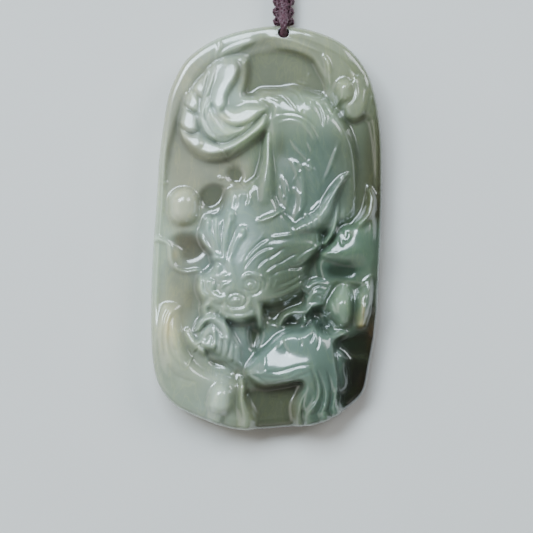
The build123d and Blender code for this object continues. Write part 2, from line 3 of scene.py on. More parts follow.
import bmesh
import bpy
import numpy as np
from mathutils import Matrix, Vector


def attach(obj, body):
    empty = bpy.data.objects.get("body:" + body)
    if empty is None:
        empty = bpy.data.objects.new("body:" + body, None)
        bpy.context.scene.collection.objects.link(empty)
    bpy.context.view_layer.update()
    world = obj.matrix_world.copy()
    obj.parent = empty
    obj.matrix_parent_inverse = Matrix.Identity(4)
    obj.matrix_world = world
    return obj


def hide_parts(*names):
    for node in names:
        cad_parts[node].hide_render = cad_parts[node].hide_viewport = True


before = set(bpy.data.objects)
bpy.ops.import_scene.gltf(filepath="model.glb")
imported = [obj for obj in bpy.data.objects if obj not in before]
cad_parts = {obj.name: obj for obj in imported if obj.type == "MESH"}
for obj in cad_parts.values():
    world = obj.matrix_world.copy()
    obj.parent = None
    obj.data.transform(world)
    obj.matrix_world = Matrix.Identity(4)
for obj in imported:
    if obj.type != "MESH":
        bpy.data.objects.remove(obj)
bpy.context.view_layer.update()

MM = 0.001

# Plaque
WIDTH = 38.0
HEIGHT = 66.4
GROUND = 5.2
RELIEF = 4.0
HALF_W = WIDTH / 2
HALF_H = HEIGHT / 2
CELLS_ACROSS = 224
CELLS_UP = 392

# The turned-over edge: the carved face's share of the way out to the outline, then rings of faces.
# Front rings are inset and drop in shares of the front's round, back rings inset and height in
# shares of the back's
FACE_SHARE = 0.95
FRONT_ROUND = 1.7
FRONT_RINGS = [(0.50, 0.07), (0.30, 0.17), (0.14, 0.36), (0.04, 0.66), (0.0, 1.0)]
BACK_ROUND = 0.9
BACK_RINGS = [(0.0, 1.0), (0.3, 0.3), (1.0, 0.0)]

# Bore and strand
BORE_ACROSS = 2.8
BORE_FRONT_FROM_TOP = 1.15
BORE_TURN_FROM_TOP = 2.4
BORE_TURN_HEIGHT = 1.85
BORE_CLEARANCE = 0.15
STRAND_RADIUS = 0.8
STRAND_OVER_RIM = 2.2
STRAND_OFF_EDGE = 0.2
STRAND_IN_KNOTS = 4.2
LEGS_APART = 1.8
LEGS_SPREAD = 0.4
MOUTH_NARROWING = 0.4
MOUTH_REACH = 1.3

# Knots above the plaque and at the nape
STEM_HEIGHT = 1.95
KNOT_RADIUS = 1.9
KNOT_PITCH = 1.75
KNOT_COUNT = 13
KNOT_FROM_EDGE = 0.35
KNOT_END = 0.6
KNOT_STRANDS = 4
KNOT_STRAND_RADIUS = 0.8
KNOT_STRAND_INSET = 1.06
KNOT_STRAND_WEAVE = 0.26
KNOT_AXIS_STEP = 0.12
NAPE_RADIUS = 2.3
NAPE_LENGTH = 9.0
NAPE_STRAND_RADIUS = 0.62
NAPE_TURNS = 7
NAPE_STEPS_A_TURN = 24

# Braids: plies, distance of a ply's line from the outside, length of a turn, step, radius of a ply
STRAND_BRAID = (8, 0.22, 3.4, 0.2, 0.24)
NECK_BRAID = (8, 0.28, 4.4, 0.35, 0.30)
KNOT_BRAID = (6, 0.17, 1.9, 0.16, 0.19)
NAPE_BRAID = (6, 0.17, 1.9, 0.18, 0.19)
PLY_INSET = 1.25
PLY_WEAVE = 0.3
NECK_RADIUS = 1.0

# Route of one half of the neck cord: sideways and along from the knots' upper end, and height
NECK_ROUTE = [
    (1.1, 0.0, 1.95), (1.1, 10.0, 1.95), (3.5, 26.0, 1.05), (15.0, 50.0, 1.05), (35.0, 75.0, 1.05),
    (56.0, 109.0, 1.05), (67.0, 150.0, 1.05), (63.0, 192.0, 1.05), (45.0, 226.0, 1.05),
    (25.0, 243.0, 1.05), (12.5, 250.0, 2.35), (4.5, 250.0, 2.35),
]

# The carving's tables are in thousandths: across of the plaque's half width, up of its half
# height, widths of the half width, and heights (levels) of the relief over the ground.
# Points are across and up, and the heights at a few places are across, up and level.

OUTLINE = [
    80, 1000, 340, 985, 600, 932, 760, 860, 870, 770, 940, 660, 980, 540, 1000, 420, 1005, 250,
    1000, 60, 985, -120, 967, -340, 940, -530, 890, -690, 850, -800, 770, -860, 600, -930,
    420, -972, 160, -988, -180, -1000, -360, -985, -600, -935, -770, -885, -880, -825, -955, -740,
    -990, -620, -1000, -470, -998, -280, -980, -60, -955, 120, -930, 340, -890, 520, -850, 650,
    -790, 740, -690, 835, -520, 910, -320, 960, -100, 990,
]

# Rise of the rim. Columns: direction in degrees, start, slope and rise
RIM = [
    (0, 950, 40, 120), (30, 900, 60, 240), (45, 700, 100, 320), (60, 760, 100, 330),
    (90, 880, 80, 340), (115, 860, 80, 360), (135, 840, 60, 340), (155, 900, 50, 300),
    (180, 940, 40, 240), (205, 920, 50, 220), (235, 880, 80, 160), (270, 920, 60, 40),
    (305, 920, 60, 50), (335, 940, 50, 100),
]

# Hollows: width of the wall, heights at a few places, outline
HOLLOWS = {
    "sky": dict(
        wall=25, spots=[150, 760, -80],
        edge=[-145, 860, 0, 880, 150, 885, 300, 865, 410, 830, 445, 800, 470, 770, 500, 740,
            515, 710, 525, 680, 510, 655, 460, 650, 400, 660, 330, 677, 280, 690, 220, 695,
            100, 680, -50, 680, -100, 660, -150, 650, -195, 665, -180, 690, -160, 740, -150, 800],
    ),
    "beside_tail": dict(
        wall=20, spots=[-270, 260, -100],
        edge=[-354, 266, -340, 290, -305, 308, -265, 312, -220, 303, -190, 280, -187, 250,
            -210, 228, -250, 217, -300, 220, -340, 240],
    ),
    "above_pearl": dict(
        wall=20, spots=[-470, 150, -120],
        edge=[-585, 170, -585, 130, -550, 105, -500, 88, -440, 95, -380, 125, -350, 165, -355, 200,
            -400, 218, -470, 222, -540, 205],
    ),
    "below_pearl": dict(
        wall=35, spots=[-650, -90, -60],
        edge=[-790, -25, -740, -12, -684, -12, -620, -18, -576, -53, -522, -90, -511, -115,
            -554, -150, -630, -172, -695, -173, -742, -152, -755, -110, -800, -80, -846, -62,
            -830, -45],
    ),
    "before_snout": dict(
        wall=120, spots=[-650, -370, -40],
        edge=[-720, -360, -700, -310, -660, -285, -610, -300, -570, -340, -565, -400, -600, -440,
            -660, -450, -710, -420],
    ),
    "under_cheek": dict(
        wall=50, spots=[100, -420, -200],
        edge=[-20, -400, 50, -392, 140, -380, 220, -365, 300, -340, 355, -335, 330, -375, 240, -400,
            180, -420, 140, -450, 100, -475, 40, -478, -20, -455],
    ),
    "under_cheek_right": dict(
        wall=35, spots=[210, -465, -260],
        edge=[130, -475, 160, -450, 210, -438, 270, -443, 305, -465, 290, -490, 220, -495,
            150, -490],
    ),
    "between_claws": dict(
        wall=35, spots=[460, -440, -260],
        edge=[370, -430, 400, -405, 450, -395, 500, -405, 520, -435, 555, -465, 585, -490,
            560, -507, 510, -508, 460, -490, 430, -468, 385, -455],
    ),
    "mouth": dict(
        wall=50, spots=[-200, -500, 20],
        edge=[-310, -470, -220, -460, -100, -460, -60, -480, -100, -550, -140, -620, -180, -670,
            -210, -660, -200, -600, -230, -550, -280, -510],
    ),
    "mouth_corner": dict(
        wall=50, spots=[-110, -540, -220],
        edge=[-175, -495, -130, -473, -80, -483, -30, -500, -20, -530, -50, -575, -80, -610,
            -130, -615, -170, -570],
    ),
    "under_chin": dict(
        wall=35, spots=[-400, -675, -140],
        edge=[-510, -630, -450, -642, -380, -660, -300, -685, -230, -710, -270, -735, -340, -700,
            -400, -690, -460, -685, -510, -660],
    ),
    "foot_recess": dict(
        wall=30, spots=[50, -880, -100],
        edge=[-175, -805, -100, -787, 0, -787, 100, -778, 180, -768, 260, -762, 290, -778,
            285, -805, 265, -838, 240, -860, 225, -885, 225, -915, 245, -935, 280, -950, 310, -970,
            300, -1060, -140, -1060, -125, -975, -100, -945, -100, -920, -125, -890, -155, -855],
    ),
    "dark_corner": dict(
        wall=50, spots=[800, -700, -50],
        edge=[608, -546, 650, -532, 708, -526, 780, -520, 900, -510, 1200, -480, 1300, -800,
            1100, -1100, 720, -1100, 600, -940, 620, -880, 635, -820, 690, -800, 716, -770,
            712, -730, 700, -695, 735, -650, 690, -620, 650, -597, 615, -570],
    ),
}

# A pocket cut into the finished forms
POCKETS = {
    "under_shoulder": dict(
        wall=20, spots=[650, -210, 200],
        edge=[521, -212, 545, -190, 578, -179, 665, -177, 752, -191, 781, -212, 752, -241,
            700, -250, 636, -253, 564, -247, 535, -232],
    ),
}

# Raised bodies: width of the rounded shoulder, heights at a few places, outline
BODIES = {
    "top_leaf": dict(
        shoulder=12, spots=[-420, 838, 420, -100, 920, 440, -300, 900, 350, -250, 860, 485],
        edge=[-430, 835, -360, 850, -280, 868, -200, 888, -90, 918, -120, 927, -220, 922, -310, 905,
            -380, 875],
    ),
    "tail": dict(
        shoulder=30, spots=[-500, 780, 360, -200, 800, 320, -200, 680, 360, -620, 660, 420,
            -680, 540, 440, -660, 430, 460, -500, 360, 500, -300, 380, 500, -50, 500, 500,
            -50, 620, 500, -400, 600, 550],
        edge=[-440, 830, -500, 790, -560, 750, -630, 705, -690, 665, -720, 620, -745, 560,
            -755, 500, -740, 455, -700, 415, -640, 380, -570, 350, -480, 333, -360, 342, -250, 372,
            -120, 425, 0, 485, 30, 530, 30, 600, -80, 650, -150, 652, -190, 660, -180, 690,
            -160, 740, -155, 800, -170, 845, -300, 855],
    ),
    "plate_one": dict(
        shoulder=15, spots=[-560, 740, 460, -630, 690, 530, -550, 650, 690],
        edge=[-560, 745, -600, 720, -635, 690, -620, 672, -590, 655, -555, 642, -535, 655,
            -535, 700, -540, 730],
    ),
    "plate_two": dict(
        shoulder=15, spots=[-660, 660, 500, -600, 580, 740, -690, 610, 600],
        edge=[-645, 682, -680, 650, -700, 612, -660, 585, -610, 572, -588, 582, -583, 620,
            -595, 650, -620, 668],
    ),
    "plate_three": dict(
        shoulder=15, spots=[-690, 580, 460, -620, 480, 760, -730, 520, 580],
        edge=[-700, 602, -735, 555, -748, 515, -705, 485, -650, 470, -605, 475, -592, 500,
            -600, 555, -640, 572, -670, 583],
    ),
    "plate_four": dict(
        shoulder=15, spots=[-660, 450, 600, -570, 410, 770, -620, 400, 760],
        edge=[-745, 490, -700, 470, -630, 457, -590, 468, -560, 440, -545, 410, -600, 385,
            -660, 405, -720, 440],
    ),
    "tail_belly": dict(
        shoulder=15, spots=[-550, 430, 610, -550, 380, 730, -450, 410, 730, -450, 360, 850,
            -300, 420, 810, -300, 380, 910, -150, 475, 780, -150, 435, 880, -30, 550, 680,
            -20, 510, 780],
        edge=[-605, 490, -585, 460, -532, 440, -446, 413, -359, 410, -273, 428, -143, 478, -13, 564,
            0, 530, -20, 490, -143, 436, -273, 386, -403, 358, -500, 356, -590, 380, -620, 410,
            -625, 450],
    ),
    "tail_band": dict(
        shoulder=25, spots=[-490, 760, 460, -530, 640, 660, -550, 560, 740, -500, 470, 840,
            -460, 560, 860, -360, 450, 900, -250, 470, 880, -100, 530, 760],
        edge=[-475, 795, -450, 760, -465, 660, -465, 610, -430, 570, -360, 525, -290, 500,
            -220, 495, -130, 520, -40, 570, -100, 512, -180, 472, -280, 440, -370, 425, -450, 430,
            -530, 462, -575, 510, -585, 560, -570, 620, -540, 660, -520, 720, -505, 780],
    ),
    "leaf_blade": dict(
        shoulder=25, spots=[-300, 800, 520, -250, 810, 530, -440, 610, 870, -360, 610, 930,
            -320, 700, 750, -460, 780, 380, -470, 700, 560, -470, 650, 720, -400, 700, 700],
        edge=[-470, 800, -420, 825, -330, 835, -270, 830, -235, 800, -235, 764, -265, 720,
            -305, 685, -340, 640, -345, 600, -390, 570, -450, 585, -475, 610, -485, 650, -475, 720],
    ),
    "leaf_tip": dict(
        shoulder=15, spots=[-420, 610, 560, -200, 598, 740, -20, 585, 900, -360, 540, 770,
            -200, 510, 960, -100, 545, 940],
        edge=[-460, 610, -420, 630, -360, 615, -325, 598, -273, 584, -220, 590, -186, 600,
            -110, 602, -40, 594, 5, 582, -40, 560, -90, 535, -150, 512, -220, 497, -290, 503,
            -360, 527, -420, 565],
    ),
    "arch": dict(
        shoulder=90, spots=[-50, 645, 420, 80, 600, 560, 300, 590, 740, 480, 540, 760,
            600, 420, 700, 660, 280, 560, 700, 120, 360, 120, 500, 520, 20, 400, 340, 100, 380, 360,
            80, 260, 400, 140, 140, 460, 300, 440, 640, 260, 250, 540, 450, 320, 620, 420, 150, 560,
            300, 50, 600, 550, 200, 560, 770, 320, 400, 730, 440, 580, 620, 540, 640, 350, 655, 450,
            150, 660, 400, 500, 630, 400, 400, 625, 620],
        edge=[-130, 645, -50, 688, 50, 692, 150, 695, 230, 700, 310, 688, 400, 672, 480, 662,
            530, 640, 590, 600, 650, 555, 710, 500, 760, 430, 790, 360, 805, 270, 805, 180,
            790, 100, 740, 40, 660, 20, 550, -20, 400, -40, 250, -30, 140, 40, 60, 120, 0, 220,
            -15, 330, -20, 440, -30, 500, -40, 530, 0, 575, -50, 600, -100, 615],
    ),
    "head": dict(
        shoulder=90, spots=[0, 250, 460, -200, 190, 540, -300, 150, 480, -250, 70, 580,
            -100, 100, 620, 20, 0, 740, -300, -50, 640, -470, 0, 500, -100, -120, 860,
            -380, -200, 720, -470, -300, 700, -250, -270, 880, -100, -280, 880, 100, -180, 800,
            120, -300, 720, 280, -180, 620, 280, -280, 540, 250, -70, 780, 420, -50, 620,
            -300, -400, 800, -120, -400, 740],
        edge=[-530, 45, -470, 57, -420, 70, -390, 100, -365, 140, -345, 180, -310, 200, -250, 205,
            -190, 215, -140, 235, -80, 260, 0, 270, 60, 250, 90, 200, 140, 120, 220, 60, 320, 30,
            460, 0, 490, -60, 450, -120, 380, -170, 360, -240, 370, -290, 330, -325, 250, -352,
            150, -375, 50, -387, -40, -395, -60, -440, -120, -460, -200, -457, -280, -457,
            -360, -440, -420, -415, -500, -395, -550, -390, -565, -340, -590, -280, -575, -235,
            -500, -200, -465, -165, -485, -120, -530, -90, -565, -50, -575, 0],
    ),
    "jaw": dict(
        shoulder=100, spots=[-500, -420, 560, -530, -520, 500, -380, -500, 640, -380, -600, 580,
            -270, -620, 480, -210, -680, 300],
        edge=[-595, -505, -565, -470, -535, -445, -530, -390, -500, -370, -420, -400, -340, -440,
            -310, -480, -280, -520, -250, -550, -220, -580, -205, -620, -195, -660, -180, -690,
            -220, -702, -280, -688, -340, -668, -400, -645, -460, -622, -520, -608, -570, -588,
            -600, -550],
    ),
    "under_arm": dict(
        shoulder=50, spots=[480, -200, 260, 650, -270, 240, 850, -220, 260, 650, -150, 260],
        edge=[440, -150, 550, -120, 750, -120, 930, -120, 940, -200, 930, -260, 860, -300,
            760, -290, 620, -280, 530, -310, 470, -270, 430, -210],
    ),
    "shoulder": dict(
        shoulder=30, spots=[500, -122, 485, 620, -122, 570, 700, -100, 570, 570, -75, 418,
            640, -40, 381, 700, -10, 350, 720, -50, 462, 660, -80, 494, 775, -20, 500,
            775, -80, 550, 880, 20, 380, 910, -60, 380, 800, -120, 540, 680, -145, 540,
            600, -165, 380, 750, -175, 340, 900, -170, 260, 930, -110, 280],
        edge=[455, -128, 500, -105, 540, -80, 580, -50, 610, -20, 640, 0, 670, 10, 720, 12, 770, 20,
            800, 30, 840, 45, 870, 70, 885, 100, 915, 100, 935, 60, 945, 0, 950, -100, 940, -165,
            900, -200, 800, -200, 700, -185, 600, -175, 520, -165, 470, -150],
    ),
    "claw_one": dict(
        shoulder=90, spots=[560, -380, 580, 630, -360, 720, 700, -360, 680, 660, -285, 320,
            600, -310, 340, 720, -300, 280, 660, -450, 640],
        edge=[513, -398, 521, -365, 550, -335, 578, -307, 610, -280, 650, -262, 700, -262,
            740, -280, 757, -323, 757, -380, 749, -439, 710, -484, 660, -495, 610, -482, 564, -455,
            530, -430],
    ),
    "claw_two": dict(
        shoulder=50, spots=[880, -250, 300, 860, -330, 600, 830, -400, 680, 810, -470, 540,
            900, -340, 500, 820, -300, 360],
        edge=[768, -400, 770, -340, 785, -305, 817, -272, 850, -240, 880, -228, 911, -240,
            925, -280, 925, -332, 918, -381, 895, -420, 875, -450, 855, -485, 810, -498, 775, -480,
            765, -440],
    ),
    "left_cloud": dict(
        shoulder=100, spots=[-950, -450, 200, -850, -480, 420, -780, -480, 380, -930, -650, 220,
            -850, -385, 200, -750, -395, 180, -830, -650, 440, -700, -680, 400, -620, -800, 300,
            -850, -800, 220, -450, -765, 260, -520, -850, 180, -280, -850, 160, -300, -760, 260,
            -400, -940, 140, -500, -960, 140, -250, -970, 180],
        edge=[-720, -380, -735, -450, -720, -520, -700, -580, -660, -630, -600, -670, -550, -690,
            -480, -710, -400, -722, -320, -735, -250, -745, -200, -760, -180, -800, -170, -840,
            -130, -890, -100, -930, -120, -970, -140, -1060, -500, -1100, -1100, -900, -1100, -450,
            -980, -400, -930, -370, -850, -355, -780, -360],
    ),
    "arm": dict(
        shoulder=50, spots=[-100, -690, 540, -30, -630, 550, -30, -690, 700, 150, -625, 666,
            150, -690, 826, 330, -630, 800, 330, -680, 920, 50, -575, 520, 150, -560, 640,
            300, -560, 760, 420, -600, 800, 500, -600, 760, 150, -730, 820, 300, -740, 820,
            500, -700, 720, 100, -760, 680, 550, -780, 580, 400, -800, 620, 320, -900, 440,
            450, -930, 380, 570, -900, 340, 660, -520, 340],
        edge=[-190, -700, -150, -665, -100, -630, -50, -605, 20, -570, 80, -535, 150, -515,
            220, -505, 300, -505, 340, -490, 380, -475, 420, -472, 450, -490, 500, -512, 580, -512,
            660, -503, 700, -507, 690, -530, 640, -545, 610, -565, 605, -600, 615, -650, 635, -710,
            640, -770, 620, -820, 600, -860, 590, -910, 570, -945, 500, -965, 400, -978, 330, -970,
            300, -955, 270, -930, 250, -890, 250, -860, 290, -830, 310, -790, 300, -765, 250, -765,
            150, -777, 0, -790, -80, -780, -140, -755, -180, -725],
    ),
    "knob": dict(
        shoulder=60, spots=[750, 600, 500, 840, 650, 440, 660, 620, 440, 770, 740, 380,
            750, 540, 440],
        edge=[757, 775, 800, 765, 853, 739, 885, 700, 896, 652, 886, 605, 865, 563, 810, 528,
            755, 516, 710, 525, 669, 547, 642, 590, 610, 620, 595, 660, 600, 700, 635, 730,
            690, 738, 725, 750],
    ),
    "fringe": dict(
        shoulder=50, spots=[640, -700, 300, 720, -650, 120, 700, -760, 140],
        edge=[600, -600, 650, -602, 700, -628, 738, -650, 710, -675, 700, -700, 712, -735,
            716, -770, 690, -800, 650, -810, 610, -800, 590, -700],
    ),
    "wisps": dict(
        shoulder=50, spots=[400, -310, 340, 450, -360, 320, 200, -420, 240, 300, -400, 300],
        edge=[330, -330, 380, -280, 440, -255, 530, -270, 560, -300, 520, -350, 500, -385,
            440, -392, 380, -405, 330, -425, 270, -430, 180, -435, 130, -470, 100, -485, 160, -430,
            220, -405, 300, -385],
    ),
}

# Tapered forms. Columns: across, up, girth, level
FORMS = {
    "horn_one": [8, 487, 14, 420, 8, 420, 30, 560, 10, 340, 52, 660, 5, 270, 82, 700,
        -5, 210, 100, 720, -15, 140, 95, 700],
    "horn_two": [200, -30, 50, 700, 300, 0, 85, 880, 400, 22, 100, 960, 490, 70, 82, 980,
        545, 135, 60, 960, 600, 195, 45, 880, 660, 245, 22, 760, 720, 268, 8, 620],
    "horn_strand": [620, 135, 12, 500, 600, 50, 24, 600, 565, -20, 32, 640, 500, -80, 18, 600],
    "finger_one": [-448, 800, 12, 500, -462, 750, 22, 620, -478, 710, 24, 720, -505, 670, 22, 800,
        -530, 638, 12, 800],
    "finger_two": [-495, 785, 10, 480, -520, 750, 18, 580, -535, 710, 18, 660, -535, 675, 10, 700],
    "nail": [-478, 622, 12, 860, -500, 600, 26, 900, -525, 565, 26, 860, -540, 540, 12, 800],
    "leaf_fold": [-457, 612, 14, 940, -403, 562, 22, 980, -338, 525, 24, 1000, -251, 505, 20, 980,
        -186, 522, 10, 920],
    "lock_one": [118, 250, 14, 440, 155, 210, 26, 540, 170, 160, 28, 580, 172, 108, 10, 560],
    "lock_two": [220, 320, 20, 580, 280, 260, 45, 620, 300, 190, 50, 660, 300, 130, 45, 700,
        270, 75, 30, 700, 220, 20, 10, 660],
    "lock_three": [360, 330, 20, 680, 395, 250, 35, 680, 415, 190, 30, 640, 420, 145, 10, 580],
    "lock_four": [620, 430, 10, 800, 590, 360, 18, 780, 540, 290, 20, 720, 490, 225, 8, 620],
    "brow_left": [-400, -150, 35, 720, -460, -60, 50, 680, -500, 0, 55, 620, -500, 40, 40, 580],
    "brow_left_two": [-390, -150, 30, 740, -420, -50, 45, 720, -430, 20, 40, 660,
        -435, 50, 20, 600],
    "brow_middle": [-370, -160, 35, 820, -355, -60, 50, 820, -325, 20, 55, 800, -305, 70, 45, 740],
    "brow_right": [-330, -160, 35, 840, -280, -90, 45, 860, -235, -40, 45, 860, -195, -5, 35, 840],
    "brow_low": [-560, -20, 20, 500, -530, -70, 30, 580, -450, -120, 30, 660, -400, -150, 30, 720],
    "forehead": [-200, -170, 80, 840, -100, -130, 120, 880, 50, -100, 130, 880, 200, -80, 110, 840,
        340, -80, 80, 740, 440, -90, 30, 620],
    "nose_bump_one": [-435, -145, 45, 820, -405, -150, 40, 840],
    "nose_bump_two": [-420, -185, 35, 840, -420, -200, 35, 840],
    "nose_bump_three": [-360, -235, 35, 890, -330, -235, 35, 890],
    "nose_bump_four": [-370, -278, 30, 890, -330, -272, 30, 890],
    "nose_bridge": [-310, -170, 60, 860, -290, -240, 70, 900, -300, -300, 80, 900],
    "muzzle": [-530, -255, 40, 700, -500, -310, 70, 760, -420, -340, 90, 840, -340, -345, 80, 870],
    "muzzle_front": [-565, -245, 25, 600, -570, -300, 30, 660, -530, -345, 30, 720],
    "nostril": [-270, -350, 75, 900, -200, -352, 75, 900],
    "eye": [-170, -280, 50, 910, -90, -283, 55, 900, -10, -280, 35, 860],
    "under_eye": [-130, -338, 18, 880, -60, -334, 20, 870, 0, -312, 20, 850, 22, -265, 16, 840],
    "upper_lip": [-500, -365, 35, 700, -420, -395, 45, 760, -320, -430, 50, 820,
        -220, -435, 60, 830, -130, -420, 50, 780],
    "lip_upper": [-360, -395, 25, 840, -250, -405, 30, 860, -170, -395, 30, 840,
        -145, -360, 25, 840],
    "lip_corner": [-110, -335, 30, 800, -70, -385, 40, 780, -60, -440, 40, 660, -50, -490, 20, 460],
    "back_ear": [220, -187, 14, 580, 300, -165, 45, 700, 370, -130, 40, 720, 470, -75, 8, 620],
    "front_ear": [-65, 35, 28, 780, 0, 45, 32, 840, 70, 62, 22, 840, 145, 88, 8, 760],
    "lower_lip": [-585, -500, 22, 520, -555, -465, 30, 600, -500, -445, 40, 680,
        -420, -455, 50, 720, -360, -490, 50, 740, -325, -550, 40, 720],
    "fang": [-500, -365, 30, 720, -530, -395, 28, 680, -525, -430, 18, 600],
    "chin_roll": [-570, -560, 30, 520, -500, -575, 50, 620, -420, -570, 50, 660],
    "jaw_fin": [-690, -500, 14, 180, -660, -540, 28, 300, -610, -580, 35, 400, -540, -610, 28, 440],
    "pearl": [-715, 122, 142, 540, -715, 86, 142, 540],
    "spur_curl": [800, 15, 45, 660, 860, 50, 50, 540, 895, 100, 50, 440, 905, 150, 40, 360,
        890, 195, 16, 260],
    "egg": [-395, -824, 120, 620, -400, -866, 124, 640],
    "egg_foot": [-405, -925, 40, 340, -395, -965, 50, 260],
    "bottom_limb": [-218, -750, 18, 360, -207, -790, 36, 440, -212, -830, 30, 440,
        -205, -870, 42, 420, -180, -920, 60, 380, -165, -965, 70, 300],
    "cloud_ridge": [-860, -390, 20, 340, -895, -450, 24, 400, -900, -550, 24, 400,
        -885, -650, 24, 360, -850, -720, 18, 300],
    "cloud_crest": [-825, -410, 20, 460, -855, -460, 26, 520, -865, -540, 28, 520,
        -840, -620, 30, 500, -780, -680, 25, 460, -700, -730, 20, 400],
    "bank_roll": [485, 860, 20, 360, 525, 815, 45, 420, 545, 760, 45, 400, 545, 710, 20, 340],
    "knob_ball": [668, 690, 94, 680, 674, 652, 94, 680],
    "toe_one": [370, -730, 30, 600, 345, -800, 45, 600, 295, -865, 50, 500, 275, -920, 40, 380],
    "toe_two": [420, -720, 25, 700, 445, -800, 35, 700, 405, -870, 50, 640, 360, -920, 55, 520,
        365, -960, 45, 340],
    "toe_three": [490, -740, 25, 700, 515, -820, 35, 660, 485, -900, 45, 560, 455, -950, 40, 380],
    "toe_four": [575, -700, 30, 640, 595, -790, 35, 580, 575, -880, 45, 480, 535, -940, 45, 340],
    "elbow": [300, -560, 50, 660, 370, -520, 45, 640, 405, -478, 16, 500],
    "wisp_one": [340, -315, 20, 400, 400, -275, 30, 440, 470, -268, 30, 420, 540, -285, 20, 300],
    "wisp_two": [360, -345, 25, 400, 430, -318, 30, 440, 500, -330, 20, 360],
    "wisp_three": [110, -480, 16, 260, 160, -435, 30, 360, 240, -415, 30, 380, 330, -415, 30, 420,
        400, -385, 25, 420, 470, -375, 20, 380],
    "wisp_knob": [325, -447, 25, 360, 333, -460, 25, 360],
}

